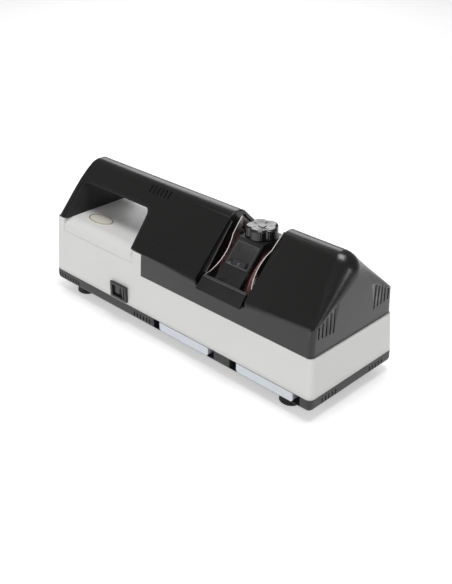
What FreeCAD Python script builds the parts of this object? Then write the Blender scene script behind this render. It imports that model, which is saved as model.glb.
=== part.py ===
import FreeCAD, Part
import os
import Sketcher
from FreeCAD import Vector

# Electric knife sharpener: white housing on a dark base, black roof-shaped cover with a carrying handle,
# two knife slots with pink grinding wheels, an induction motor on the same spindle and two dust drawers.
# X runs along the machine, the front with its switch and drawers faces -Y, and Z starts at the table.

document = FreeCAD.newDocument("knife_sharpener")
sheet = document.addObject("Spreadsheet::Sheet", "sizes")

DRIVING_SIZES = {
    # Outside form
    "body_length": 330.0,
    "body_width": 111.0,
    "side_draft": 0.056,
    "corner_round": 5.0,
    "table_gap": 8.5,
    "base_height": 12.0,
    "base_edge_round": 5.0,
    "housing_ledge": 56.6,
    "deck_height": 78.0,
    "deck_edge_round": 11.0,
    "housing_wall": 2.5,
    "eave_height": 80.0,
    "ridge_corner": 132.7,
    "ridge_round": 14.0,
    "end_round": 17.0,
    "handle_end_round": 10.0,
    "handle_end_lean": 6.5,
    "sharp_edge_round": 2.0,
    "cover_wall": 2.6,
    "band_left": -36.4,
    # Carrying handle
    "tunnel_left": -150.0,
    "tunnel_right": -48.0,
    "tunnel_lean": 5.0,
    "tunnel_top": 110.7,
    "tunnel_round": 9.0,
    "liner_wall": 2.4,
    "fit_gap": 0.3,
    # Sharpening head
    "head_left": 33.0,
    "head_right": 90.5,
    "head_middle": 61.5,
    "head_floor": 74.0,
    "guard_width": 28.0,
    "guard_drop": 7.0,
    "guard_plate": 5.5,
    "platform_height": 112.0,
    "platform_depth": 28.0,
    "apron_width": 50.0,
    "apron_bottom": 71.7,
    "apron_plate": 2.3,
    "window_width": 24.0,
    "window_sink": 4.0,
    "knob_lobe_circle": 11.5,
    "knob_lobe_radius": 4.6,
    "knob_core_radius": 12.4,
    "knob_height": 9.5,
    "stud_radius": 3.0,
    "stud_top": 118.5,
    "wing_plate": 2.0,
    "strip_plate": 0.8,
    "strip_depth": 9.0,
    "strip_drop": 9.5,
    # Spindle and motor
    "spindle_height": 68.0,
    "spindle_radius": 5.0,
    "bearing_play": 0.03,
    "wheel_radius": 34.0,
    "wheel_width": 11.5,
    "wheel_bore": 8.0,
    "wheel_gap": 9.0,
    "flange_radius": 14.0,
    "flange_plate": 2.5,
    "bearing_radius": 13.0,
    "bearing_width": 8.0,
    "stator_radius": 38.0,
    "stator_length": 26.0,
    "stator_start": 105.0,
    "shield_length": 9.6,
    "rotor_gap": 0.5,
    "rotor_radius": 23.5,
    "fan_radius": 30.0,
    "fan_width": 5.0,
    "fan_blades": 9.0,
    # Base and drawers
    "plate_thickness": 2.0,
    "drawer_width": 62.0,
    "drawer_depth": 92.0,
    "drawer_height": 8.2,
    "drawer_wall": 1.4,
    "drawer_middle": 68.0,
    "drawer_spacing": 95.6,
    "finger_gap": 7.6,
    "foot_radius": 10.0,
    "foot_x": 134.0,
    "foot_y": 41.0,
    "screw_radius": 2.0,
    # Switch, inlet and capacitor
    "switch_x": -65.3,
    "switch_z": 30.6,
    "switch_width": 22.5,
    "switch_height": 15.5,
    "rocker_tilt": 8.0,
    "rocker_pin": 1.3,
    "pin_play": 0.05,
    "inlet_x": -100.0,
    "inlet_z": 42.0,
    "capacitor_radius": 14.0,
    "capacitor_length": 58.0,
}
for row, (alias, number) in enumerate(DRIVING_SIZES.items(), start=1):
    sheet.set("A%d" % row, alias)
    sheet.set("B%d" % row, repr(number))
    sheet.setAlias("B%d" % row, alias)
document.recompute()


class Size:
    """A length that carries its number and the formula that ties it to the sheet."""

    def __init__(self, number, formula):
        self.number = number
        self.formula = formula

    def joined(self, other, sign, number):
        return Size(number, "(%s %s %s)" % (self.formula, sign, other.formula))

    def __add__(self, other):
        other = as_size(other)
        return self.joined(other, "+", self.number + other.number)

    def __sub__(self, other):
        other = as_size(other)
        return self.joined(other, "-", self.number - other.number)

    def __mul__(self, other):
        other = as_size(other)
        return self.joined(other, "*", self.number * other.number)

    def __truediv__(self, other):
        other = as_size(other)
        return self.joined(other, "/", self.number / other.number)

    def __radd__(self, other):
        return as_size(other) + self

    def __rsub__(self, other):
        return as_size(other) - self

    def __rmul__(self, other):
        return as_size(other) * self

    def __neg__(self):
        return as_size(0.0) - self


def as_size(value):
    if isinstance(value, Size):
        return value
    return Size(float(value), "(%r)" % float(value))


def cell(alias):
    return Size(float(sheet.get(alias)), "sizes." + alias)


def bind(thing, path, value):
    value = as_size(value)
    thing.setExpression(path, value.formula)


# Sketch and feature helpers

def new_body(label):
    body = document.addObject("PartDesign::Body", label)
    body.Label = label
    return body


def new_sketch(body, role, offset=None):
    planes = {feature.Role: feature for feature in body.Origin.OriginFeatures}
    sketch = body.newObject("Sketcher::SketchObject", body.Label + "_outline")
    sketch.AttachmentSupport = [(planes[role], "")]
    sketch.MapMode = "FlatFace"
    if offset is not None:
        bind(sketch, "AttachmentOffset.Base.z", offset)
    return sketch


def pin_point(sketch, piece, end, place):
    for kind, value in zip(("DistanceX", "DistanceY"), place):
        value = as_size(value)
        index = sketch.addConstraint(Sketcher.Constraint(kind, -1, 1, piece, end, value.number))
        sketch.setExpression("Constraints[%d]" % index, value.formula)


def draw_polygon(sketch, corners):
    corners = [(as_size(across), as_size(up)) for across, up in corners]
    first = sketch.GeometryCount
    count = len(corners)
    for index in range(count):
        start = corners[index]
        stop = corners[(index + 1) % count]
        line = Part.LineSegment(
            Vector(start[0].number, start[1].number, 0), Vector(stop[0].number, stop[1].number, 0))
        sketch.addGeometry(line, False)
    for index in range(count):
        following = first + (index + 1) % count
        sketch.addConstraint(Sketcher.Constraint("Coincident", first + index, 2, following, 1))
    for index, corner in enumerate(corners):
        pin_point(sketch, first + index, 1, corner)


def draw_rectangle(sketch, left, right, bottom, top):
    draw_polygon(sketch, [(left, bottom), (right, bottom), (right, top), (left, top)])


def draw_circle(sketch, across, up, radius):
    across, up, radius = as_size(across), as_size(up), as_size(radius)
    centre = Vector(across.number, up.number, 0)
    index = sketch.addGeometry(Part.Circle(centre, Vector(0, 0, 1), radius.number), False)
    limit = sketch.addConstraint(Sketcher.Constraint("Radius", index, radius.number))
    sketch.setExpression("Constraints[%d]" % limit, radius.formula)
    pin_point(sketch, index, 3, (across, up))


def pad(body, sketch, length, backwards=False, middle=False, taper=None):
    feature = body.newObject("PartDesign::Pad", body.Label + "_pad")
    feature.Profile = sketch
    bind(feature, "Length", length)
    feature.Reversed = backwards
    if middle:
        feature.SideType = "Symmetric"
    if taper is not None:
        bind(feature, "TaperAngle", taper)
    document.recompute()
    return feature


def pocket(body, sketch, length, backwards=False, middle=False):
    before = body.Shape.Volume
    feature = body.newObject("PartDesign::Pocket", body.Label + "_pocket")
    feature.Profile = sketch
    bind(feature, "Length", length)
    feature.Reversed = backwards
    if middle:
        feature.SideType = "Symmetric"
    document.recompute()
    if not body.Shape.Volume < before:
        raise RuntimeError("a pocket of %s removes nothing" % body.Label)
    return feature


def turned(body, corners):
    """A solid turned about the X axis from a half profile of (x, radius) corners."""
    sketch = new_sketch(body, "XZ_Plane")
    draw_polygon(sketch, corners)
    feature = body.newObject("PartDesign::Revolution", body.Label + "_turning")
    feature.Profile = sketch
    feature.ReferenceAxis = (sketch, ["H_Axis"])
    feature.Angle = 360.0
    document.recompute()
    return feature


def edge_names(shape, wanted):
    return ["Edge%d" % (index + 1) for index, edge in enumerate(shape.Edges) if wanted(edge)]


def round_edges(body, wanted, radius):
    base = body.Tip
    names = edge_names(base.Shape, wanted)
    if not names:
        raise RuntimeError("no edge of %s to round" % body.Label)
    feature = body.newObject("PartDesign::Fillet", body.Label + "_rounding")
    feature.Base = (base, names)
    bind(feature, "Radius", radius)
    document.recompute()
    return feature


def flat_in(edge, axis, value, tolerance=0.02):
    low = getattr(edge.BoundBox, axis + "Min")
    high = getattr(edge.BoundBox, axis + "Max")
    return abs(low - value) < tolerance and abs(high - value) < tolerance


def lift_to_spindle(body):
    bind(body, ".Placement.Base.z", cell("spindle_height"))


half_length = cell("body_length") / 2
half_width = cell("body_width") / 2
base_bottom = cell("table_gap")
base_top = cell("table_gap") + cell("base_height")
plate_top = base_top + cell("plate_thickness")
fit_gap = cell("fit_gap")
draft = cell("side_draft")
eave_half_width = half_width - draft * (cell("eave_height") - base_top)
ledge_half_width = half_width - draft * (cell("housing_ledge") - base_top)
roof_slope = (cell("ridge_corner") - cell("eave_height")) / eave_half_width
cover_right = half_length - draft * (cell("eave_height") - base_top)
cover_left = -half_length + draft * (cell("deck_height") - base_top)
head_middle = cell("head_middle")
stator_start = cell("stator_start")
stator_end = stator_start + cell("stator_length")
drawer_floor = base_bottom + 2.5 + fit_gap


def roof_height(across, drop=0.0):
    """Height of the roof slope at a distance from the ridge line, less a drop."""
    return cell("ridge_corner") - roof_slope * as_size(across) - drop


# Base tray: a low open tray with its lower edge curved in, vents in its walls and drawer runners

def make_base_tray():
    body = new_body("base_tray")
    outline = new_sketch(body, "XY_Plane", base_bottom)
    draw_rectangle(outline, -half_length, half_length, -half_width, half_width)
    pad(body, outline, cell("base_height"))
    round_edges(body, lambda edge: abs(edge.BoundBox.ZLength - cell("base_height").number) < 0.01,
                cell("corner_round"))
    round_edges(body, lambda edge: flat_in(edge, "Z", base_bottom.number), cell("base_edge_round"))
    inside = new_sketch(body, "XY_Plane", base_top)
    rim = cell("base_edge_round") + 3.5
    draw_rectangle(inside, -half_length + rim, half_length - rim, -half_width + rim, half_width - rim)
    pocket(body, inside, cell("base_height") - 2.5)
    add_drawer_mouths(body)
    add_drawer_runners(body)
    add_base_vents(body)
    holes = new_sketch(body, "XY_Plane", base_bottom + 3.0)
    for side in (-1, 1):
        for end in (-1, 1):
            draw_circle(holes, cell("foot_x") * end, cell("foot_y") * side, cell("screw_radius") + 0.2)
    pocket(body, holes, 4.0)
    return body


def drawer_centre(side):
    return cell("drawer_middle") + cell("drawer_spacing") / 2 * side


def add_drawer_mouths(body):
    mouths = new_sketch(body, "XZ_Plane", half_width + 1.0)
    reach = cell("drawer_width") / 2 + cell("finger_gap")
    for side in (-1, 1):
        middle = drawer_centre(side)
        draw_rectangle(mouths, middle - reach, middle + reach, base_bottom + 2.5, base_top + 1.0)
    pocket(body, mouths, 11.0)


def add_drawer_runners(body):
    runners = new_sketch(body, "XY_Plane", base_bottom + 2.0)
    inner = cell("drawer_width") / 2 + fit_gap
    for side in (-1, 1):
        middle = drawer_centre(side)
        for flank in (-1, 1):
            near = middle + inner * flank
            far = middle + (inner + 1.6) * flank
            left, right = (near, far) if flank > 0 else (far, near)
            draw_rectangle(runners, left, right, -38.0, 42.0)
    pad(body, runners, 6.0)
    stops = new_sketch(body, "XY_Plane", base_bottom + 2.0)
    back = cell("drawer_depth") - half_width + fit_gap * 2
    for side in (-1, 1):
        middle = drawer_centre(side)
        draw_rectangle(stops, middle - 12.0, middle + 12.0, back, back + 2.0)
    pad(body, stops, 6.0)


def add_base_vents(body):
    front = new_sketch(body, "XZ_Plane", half_width + 1.0)
    for first, count in ((-160.0, 8), (-46.0, 6)):
        for index in range(count):
            left = first + 4.3 * index
            draw_rectangle(front, left, left + 1.5, base_bottom + 4.0, base_bottom + 8.6)
    pocket(body, front, 4.0)
    end = new_sketch(body, "YZ_Plane", half_length + 1.0)
    for side in (-1, 1):
        for index in range(5):
            middle = (23.0 + 4.3 * index) * side
            draw_rectangle(end, middle - 0.75, middle + 0.75, base_bottom + 4.0, base_bottom + 8.6)
    pocket(body, end, 4.0)


# Chassis plate: the steel plate on the tray that carries the motor, the bearing and the head

def make_chassis_plate():
    body = new_body("chassis_plate")
    outline = new_sketch(body, "XY_Plane", base_top)
    margin = cell("base_edge_round") + 2.4
    draw_rectangle(outline, -half_length + margin, half_length - margin, -half_width + margin,
                   half_width - margin)
    pad(body, outline, cell("plate_thickness"))
    slots = new_sketch(body, "XY_Plane", plate_top + 1.0)
    draw_rectangle(slots, 42.0, 50.0, -36.0, 36.0)
    draw_rectangle(slots, 86.4, 92.0, -36.0, 36.0)
    pocket(body, slots, cell("plate_thickness") + 2.0)
    return body


# Lower housing: the white shell, high and round-edged under the handle, cut down to a ledge elsewhere

def make_lower_housing():
    body = new_body("lower_housing")
    outline = new_sketch(body, "XY_Plane", base_top)
    draw_rectangle(outline, -half_length, half_length, -half_width, half_width)
    angle = Size(-3.205, "(0 - atan(sizes.side_draft) / 1deg)")
    pad(body, outline, cell("deck_height") - base_top, taper=angle)
    round_edges(body, lambda edge: edge.BoundBox.ZLength > 50.0, cell("corner_round"))
    lowered = new_sketch(body, "XZ_Plane")
    draw_rectangle(lowered, cell("band_left"), half_length + 1.0, cell("housing_ledge"),
                   cell("deck_height") + 1.0)
    pocket(body, lowered, cell("body_width") + 4.0, middle=True)
    saddle = new_sketch(body, "XZ_Plane")
    saddle_bottom = cell("deck_height") - cell("deck_edge_round") - 2.0
    draw_rectangle(saddle, cell("tunnel_left"), cell("tunnel_right"), saddle_bottom,
                   cell("deck_height") + 1.0)
    pocket(body, saddle, cell("body_width") + 4.0, middle=True)
    hump = new_sketch(body, "YZ_Plane", cell("tunnel_left"))
    low = half_width - draft * (saddle_bottom - base_top) - 0.3
    high = half_width - draft * (cell("deck_height") - base_top) - 0.3
    draw_polygon(hump, [(-low, saddle_bottom), (low, saddle_bottom), (high, cell("deck_height")),
                        (-high, cell("deck_height"))])
    pad(body, hump, cell("tunnel_right") - cell("tunnel_left"))
    tunnel_length = (cell("tunnel_right") - cell("tunnel_left")).number
    round_edges(body, lambda edge: flat_in(edge, "Z", cell("deck_height").number)
                and abs(edge.BoundBox.XLength - tunnel_length) < 0.05, cell("deck_edge_round"))
    hollow_housing(body)
    cut_housing_openings(body)
    return body


def hollow_housing(body):
    inner_width = eave_half_width - cell("housing_wall") - 0.4
    left = -half_length + 7.0
    right = half_length - 6.0
    lower = new_sketch(body, "XY_Plane", base_top)
    draw_rectangle(lower, left, right, -inner_width, inner_width)
    pocket(body, lower, cell("housing_ledge") - base_top - 2.6, backwards=True)
    upper = new_sketch(body, "XY_Plane", cell("housing_ledge") + 1.0)
    draw_rectangle(upper, cell("band_left") + 0.4, right, -inner_width, inner_width)
    pocket(body, upper, 6.0)
    hood = new_sketch(body, "XY_Plane", cell("housing_ledge") - 3.0)
    deep = half_width - 11.5
    draw_rectangle(hood, left, cell("band_left") - cell("housing_wall"), -deep, deep)
    pocket(body, hood, cell("deck_height") - cell("housing_ledge") - 3.0, backwards=True)


def cut_housing_openings(body):
    switch_hole = new_sketch(body, "XZ_Plane", half_width + 1.0)
    draw_rectangle(switch_hole, cell("switch_x") - 9.8, cell("switch_x") + 9.8, cell("switch_z") - 6.6,
                   cell("switch_z") + 6.6)
    pocket(body, switch_hole, 12.0)
    inlet_hole = new_sketch(body, "XZ_Plane", -half_width - 1.0)
    draw_rectangle(inlet_hole, cell("inlet_x") - 14.0, cell("inlet_x") + 14.0, cell("inlet_z") - 10.2,
                   cell("inlet_z") + 10.2)
    pocket(body, inlet_hole, 14.0, backwards=True)


# Top cover: one roof-shaped moulding with the handle, the left hood and the right hood

def make_top_cover():
    form = new_body("cover_form")
    gable = new_sketch(form, "YZ_Plane", cover_left)
    draw_polygon(gable, [(-ledge_half_width, cell("housing_ledge")), (ledge_half_width, cell("housing_ledge")),
                         (eave_half_width, cell("eave_height")), (0.0, cell("ridge_corner")),
                         (-eave_half_width, cell("eave_height"))])
    pad(form, gable, cover_right - cover_left)
    ridge = cell("ridge_corner").number
    round_edges(form, lambda edge: flat_in(edge, "Z", ridge), cell("ridge_round"))
    lean = new_sketch(form, "XZ_Plane")
    top = cell("ridge_corner") + 1.0
    draw_polygon(lean, [(cover_left - 1.0, cell("deck_height")), (cover_left, cell("deck_height")),
                        (cover_left + cell("handle_end_lean"), top), (cover_left - 1.0, top)])
    pocket(form, lean, cell("body_width") + 4.0, middle=True)
    body = new_body("cover_shell")
    body.BaseFeature = form
    document.recompute()
    cut_handle_tunnel(body)
    lower_left = new_sketch(body, "XZ_Plane")
    draw_rectangle(lower_left, cover_left - 2.0, cell("band_left"), cell("housing_ledge") - 1.0,
                   cell("deck_height"))
    pocket(body, lower_left, cell("body_width") + 4.0, middle=True)
    hollow_cover(body)
    cut_head_gap(body)
    cut_cover_vents(body)
    rounded = round_cover_ends(form)
    cover = document.addObject("Part::MultiCommon", "top_cover")
    cover.Shapes = [rounded, body]
    document.recompute()
    return cover


def tunnel_corners(inset):
    """Corners of the hand opening seen from the front, drawn in by an inset on its three closed sides."""
    bottom = cell("deck_height")
    top = cell("tunnel_top") - inset
    left = cell("tunnel_left") + inset
    right = cell("tunnel_right") - inset
    lean = cell("tunnel_lean")
    return [(left, bottom), (right, bottom), (right - lean, top), (left - lean, top)]


def cut_handle_tunnel(body):
    opening = new_sketch(body, "XZ_Plane")
    corners = tunnel_corners(0.0)
    draw_polygon(opening, [(corners[0][0], corners[0][1] - 1.0), (corners[1][0], corners[1][1] - 1.0),
                           corners[2], corners[3]])
    pocket(body, opening, cell("body_width") + 4.0, middle=True)
    round_edges(body, lambda edge: flat_in(edge, "Z", cell("tunnel_top").number)
                and edge.BoundBox.XLength < 0.02, cell("tunnel_round"))


def inner_gable(sketch, wall, bottom):
    wall_half = eave_half_width - wall
    side_top = cell("eave_height") - wall * 0.4
    flat = cell("ridge_corner") - 5.8 - wall
    flat_half = (cell("ridge_corner") - wall * 1.42 - flat) / roof_slope
    draw_polygon(sketch, [(-wall_half, bottom), (wall_half, bottom), (wall_half, side_top),
                          (flat_half, flat), (-flat_half, flat), (-wall_half, side_top)])


def hollow_cover(body):
    wall = cell("cover_wall")
    low = cell("housing_ledge") - 1.0
    left = new_sketch(body, "YZ_Plane", cell("tunnel_left") + 3.0)
    inner_gable(left, wall, low)
    pocket(body, left, cell("head_left") - wall - cell("tunnel_left") - 3.0, backwards=True)
    right = new_sketch(body, "YZ_Plane", cell("head_right") + wall)
    inner_gable(right, wall, low)
    motor_end = cover_right - cell("end_round") + 2.5
    pocket(body, right, motor_end - cell("head_right") - wall, backwards=True)
    end_space = new_sketch(body, "YZ_Plane", motor_end - 1.0)
    reach = eave_half_width - wall
    draw_polygon(end_space, [(-reach, low), (reach, low), (reach, cell("eave_height") - 4.0),
                             (reach - 10.0, cell("eave_height") + 5.0),
                             (-reach + 10.0, cell("eave_height") + 5.0), (-reach, cell("eave_height") - 4.0)])
    pocket(body, end_space, cell("end_round") - 1.5 - wall, backwards=True)


def cut_head_gap(body):
    above = new_sketch(body, "XZ_Plane")
    draw_rectangle(above, cell("head_left"), cell("head_right"), cell("head_floor"),
                   cell("ridge_corner") + 2.0)
    pocket(body, above, cell("body_width") + 4.0, middle=True)
    inside = new_sketch(body, "XY_Plane", cell("head_floor") + 1.0)
    reach = eave_half_width - cell("cover_wall")
    draw_rectangle(inside, cell("head_left"), cell("head_right"), -reach, reach)
    pocket(body, inside, cell("head_floor") - cell("housing_ledge") + 3.0)
    spindle_way = new_sketch(body, "YZ_Plane", cell("head_left") - cell("cover_wall") - 1.0)
    clear = cell("spindle_radius") + 3.5
    top = cell("spindle_height") + clear
    draw_rectangle(spindle_way, -clear, clear, cell("housing_ledge") - 1.0, top)
    pocket(body, spindle_way, cell("head_right") - cell("head_left") + cell("cover_wall") * 2 + 2.0,
           backwards=True)


def cut_cover_vents(body):
    end = new_sketch(body, "YZ_Plane", cover_right + 2.0)
    for side in (-1, 1):
        for index in range(5):
            near = 26.6 + 4.7 * index
            bottom = cell("eave_height") - 10.2 + 0.5 * index
            top = cell("eave_height") + 12.4 - 2.5 * index
            draw_rectangle(end, near * side - 0.8, near * side + 0.8, bottom, top)
    pocket(body, end, cell("cover_wall") + 4.0)
    ridge_slots = new_sketch(body, "XZ_Plane")
    ridge_top = cell("ridge_corner") - 5.8
    for first, count in ((-67.0, 6), (98.0, 3)):
        for index in range(count):
            left = first + 4.9 * index
            draw_rectangle(ridge_slots, left, left + 1.4, ridge_top - 8.6, ridge_top - 2.6)
    pocket(body, ridge_slots, 60.0, middle=True)


def end_radii(edge, eave, large, small):
    """Start and end radius of the rounding along one edge of a gable, large at the ridge and small below."""
    first = edge.valueAt(edge.FirstParameter)
    last = edge.valueAt(edge.LastParameter)
    radii = [small if point.z < eave + 2.0 else large for point in (first, last)]
    if edge.Orientation == "Reversed":
        radii.reverse()
    return radii


def round_cover_ends(body):
    shape = body.Shape
    eave = cell("eave_height").number
    small = cell("sharp_edge_round").number
    right_end = cover_right.number
    left_end = cover_left.number
    lean = cell("handle_end_lean").number / (cell("ridge_corner") + 1.0 - cell("deck_height")).number
    picked = []
    for index, edge in enumerate(shape.Edges):
        box = edge.BoundBox
        middle = edge.valueAt((edge.FirstParameter + edge.LastParameter) / 2)
        on_right = flat_in(edge, "X", right_end) and box.ZMin > eave - 0.1 and outer_edge(edge)
        leaning = left_end + lean * (middle.z - cell("deck_height").number)
        on_left = abs(middle.x - leaning) < 0.05 and box.ZMin > eave - 0.1 and outer_edge(edge)
        if on_right:
            first, last = end_radii(edge, eave, cell("end_round").number, small)
            picked.append((index + 1, first, last))
        elif on_left:
            first, last = end_radii(edge, eave, cell("handle_end_round").number, small)
            picked.append((index + 1, first, last))
    rounded = document.addObject("Part::Fillet", "cover_rounding")
    rounded.Base = body
    rounded.Edges = picked
    document.recompute()
    return rounded


def outer_edge(edge):
    """True for an edge that lies on the outside of the roof."""
    middle = edge.valueAt((edge.FirstParameter + edge.LastParameter) / 2)
    slope_height = cell("ridge_corner").number - roof_slope.number * abs(middle.y)
    crown = cell("ridge_corner").number - 6.5
    return abs(middle.z - slope_height) < 0.05 or (abs(middle.y) < 0.5 and middle.z > crown)


# Handle liner: the inner half of the handle that closes the moulding around the fingers

def make_handle_liner():
    body = new_body("handle_liner")
    band = new_sketch(body, "XZ_Plane")
    outer = tunnel_corners(fit_gap)
    inner = tunnel_corners(fit_gap + cell("liner_wall"))
    draw_polygon(band, [outer[0], outer[3], outer[2], outer[1], inner[1], inner[2], inner[3], inner[0]])
    pad(body, band, eave_half_width * 2 + 4.0, middle=True)
    outer_top = outer[2][1].number
    inner_top = inner[2][1].number
    outer_round = cell("tunnel_round") - fit_gap
    round_edges(body, lambda edge: flat_in(edge, "Z", outer_top) and edge.BoundBox.XLength < 0.02,
                outer_round)
    round_edges(body, lambda edge: flat_in(edge, "Z", inner_top) and edge.BoundBox.XLength < 0.02,
                outer_round - cell("liner_wall"))
    trim = new_sketch(body, "YZ_Plane", cell("tunnel_left") - 10.0)
    side = eave_half_width + 6.0
    flush = 0.6
    for flank in (-1, 1):
        draw_polygon(trim, [(side * flank, cell("deck_height") - 1.0),
                            ((eave_half_width - flush) * flank, cell("deck_height") - 1.0),
                            ((eave_half_width - flush) * flank, cell("eave_height") - flush),
                            (flush * flank, roof_height(flush, flush * 1.4)),
                            (flush * flank, cell("ridge_corner") + 4.0),
                            (side * flank, cell("ridge_corner") + 4.0)])
    pocket(body, trim, cell("tunnel_right") - cell("tunnel_left") + 20.0, backwards=True)
    return body


# Wheel guard: the lift-off centre piece between the knife slots, with an apron over each eave

def make_wheel_guard():
    body = new_body("wheel_guard")
    drop = cell("guard_drop")
    plate = cell("guard_plate") * 1.42
    foot_y = eave_half_width - 5.0
    platform_y = cell("platform_depth") / 2
    under = cell("platform_height") - cell("guard_plate")
    under_y = (cell("ridge_corner") - drop - plate - under) / roof_slope
    roof = new_sketch(body, "YZ_Plane", head_middle)
    draw_polygon(roof, [(-foot_y, roof_height(foot_y, drop)), (-foot_y, roof_height(foot_y, drop + plate)),
                        (-under_y, under), (under_y, under), (foot_y, roof_height(foot_y, drop + plate)),
                        (foot_y, roof_height(foot_y, drop)), (platform_y, roof_height(platform_y, drop)),
                        (platform_y, cell("platform_height")), (-platform_y, cell("platform_height")),
                        (-platform_y, roof_height(platform_y, drop))])
    pad(body, roof, cell("guard_width"), middle=True)
    aprons = new_sketch(body, "YZ_Plane", head_middle)
    wall_face = half_width - draft * (cell("apron_bottom") - base_top) + fit_gap
    outside = wall_face + cell("apron_plate")
    hook = eave_half_width - cell("cover_wall") - fit_gap
    floor = cell("head_floor") + fit_gap
    lip_y = eave_half_width - 5.6
    inner_y = eave_half_width - 7.6
    for side in (-1, 1):
        draw_polygon(aprons, [(outside * side, cell("apron_bottom")), (outside * side, cell("eave_height")),
                              (lip_y * side, roof_height(lip_y, -1.2)),
                              (inner_y * side, roof_height(inner_y, 1.8)),
                              (inner_y * side, roof_height(inner_y, drop + 1.0)),
                              (hook * side, floor - 3.5), (hook * side, floor), (wall_face * side, floor),
                              (wall_face * side, cell("apron_bottom"))])
    pad(body, aprons, cell("apron_width"), middle=True)
    cut_guard_window(body)
    stud_hole = new_sketch(body, "XY_Plane", cell("platform_height") + 1.0)
    draw_circle(stud_hole, head_middle, 0.0, cell("stud_radius") + fit_gap)
    pocket(body, stud_hole, cell("guard_plate") + 2.0)
    return body


def cut_guard_window(body):
    """A sunk window in each slope, with a small step along its lower edge."""
    width = cell("window_width")
    high_y = cell("platform_depth") / 2 + 2.6
    low_y = high_y + 15.0
    step_y = low_y - 4.4
    sink = cell("window_sink") * 1.42
    for side in (-1, 1):
        window = new_sketch(body, "YZ_Plane", head_middle)
        drop = cell("guard_drop")
        draw_polygon(window, [(high_y * side, roof_height(high_y, drop - 1.0)),
                              (high_y * side, roof_height(high_y, drop + sink)),
                              (step_y * side, roof_height(step_y, drop + sink)),
                              (step_y * side, roof_height(step_y, drop + sink * 0.5)),
                              (low_y * side, roof_height(low_y, drop + sink * 0.5)),
                              (low_y * side, roof_height(low_y, drop - 1.0))])
        pocket(body, window, width, middle=True)


# Star knob, its stud and the upright plate between the wheels that holds the stud

def make_star_knob():
    body = new_body("star_knob")
    bind(body, ".Placement.Base.x", head_middle)
    bind(body, ".Placement.Base.z", cell("platform_height") + fit_gap)
    core = new_sketch(body, "XY_Plane")
    draw_circle(core, 0.0, 0.0, cell("knob_core_radius"))
    pad(body, core, cell("knob_height"))
    lobe = new_sketch(body, "XY_Plane")
    draw_circle(lobe, -cell("knob_lobe_circle"), 0.0, cell("knob_lobe_radius"))
    lobe_pad = pad(body, lobe, cell("knob_height"))
    ring = body.newObject("PartDesign::PolarPattern", "knob_lobes")
    ring.Originals = [lobe_pad]
    planes = {feature.Role: feature for feature in body.Origin.OriginFeatures}
    ring.Axis = (planes["Z_Axis"], [""])
    ring.Angle = 360.0
    ring.Occurrences = 6
    body.Tip = ring
    document.recompute()
    knob_top = cell("knob_height").number
    names = edge_names(ring.Shape, lambda edge: flat_in(edge, "Z", knob_top))
    bevel = body.newObject("PartDesign::Chamfer", "knob_bevel")
    bevel.Base = (ring, names)
    bevel.Size = 0.9
    document.recompute()
    bore = new_sketch(body, "XY_Plane")
    draw_circle(bore, 0.0, 0.0, cell("stud_radius") + fit_gap)
    pocket(body, bore, cell("knob_height") - 2.5, backwards=True)
    return body


def make_knob_stud():
    body = new_body("knob_stud")
    bind(body, ".Placement.Base.x", head_middle)
    section = new_sketch(body, "XY_Plane", cell("platform_height") - cell("guard_plate") - 3.0)
    draw_circle(section, 0.0, 0.0, cell("stud_radius"))
    pad(body, section, cell("stud_top") - cell("platform_height") + cell("guard_plate") + 3.0)
    flange = new_sketch(body, "XY_Plane", cell("platform_height") - cell("guard_plate") - 3.0)
    draw_circle(flange, 0.0, 0.0, cell("stud_radius") + 2.5)
    pad(body, flange, 2.4)
    return body


def make_centre_plate():
    body = new_body("centre_plate")
    outline = new_sketch(body, "YZ_Plane", head_middle)
    top = cell("platform_height") - cell("guard_plate") - 3.0
    draw_polygon(outline, [(-15.0, plate_top), (15.0, plate_top), (15.0, cell("spindle_height") + 16.0),
                           (6.0, top), (-6.0, top), (-15.0, cell("spindle_height") + 16.0)])
    pad(body, outline, cell("wing_plate"), middle=True)
    hole = new_sketch(body, "YZ_Plane", head_middle)
    draw_circle(hole, 0.0, cell("spindle_height"), cell("wheel_bore") + 1.5)
    pocket(body, hole, cell("wing_plate") + 2.0, middle=True)
    foot = new_sketch(body, "XY_Plane", plate_top)
    draw_rectangle(foot, head_middle - cell("wing_plate") / 2, head_middle + 9.0, -15.0, 15.0)
    pad(body, foot, 2.0)
    return body


# Blade guides: a sprung steel strip in each slot, bowed toward the wheel on both slopes

def strip_face(hood, ridge, bow, end, plate):
    """Plan of one strip: lines and arcs through its ridge, bow and end distances from the hood wall."""
    reach = 43.0
    crest = 26.0
    turn = 13.0

    def side_line(shift):
        direction = 1.0 if bow > hood else -1.0
        points = [Vector(end + shift * direction, -reach, 0), Vector(bow + shift * direction, -crest, 0),
                  Vector((ridge * 0.7 + bow * 0.3) + shift * direction, -turn, 0),
                  Vector(ridge + shift * direction, 0, 0)]
        mirrored = [Vector(point.x, -point.y, 0) for point in points]
        return [Part.Arc(points[0], points[1], points[2]).toShape(),
                Part.LineSegment(points[2], points[3]).toShape(),
                Part.LineSegment(points[3], mirrored[2]).toShape(),
                Part.Arc(mirrored[2], mirrored[1], mirrored[0]).toShape()]

    near = side_line(0.0)
    far = side_line(-plate)
    first = Part.LineSegment(near[0].Vertexes[0].Point, far[0].Vertexes[0].Point).toShape()
    last = Part.LineSegment(near[3].Vertexes[-1].Point, far[3].Vertexes[-1].Point).toShape()
    wire = Part.Wire(Part.__sortEdges__(near + far + [first, last]))
    return Part.Face(wire)


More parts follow.
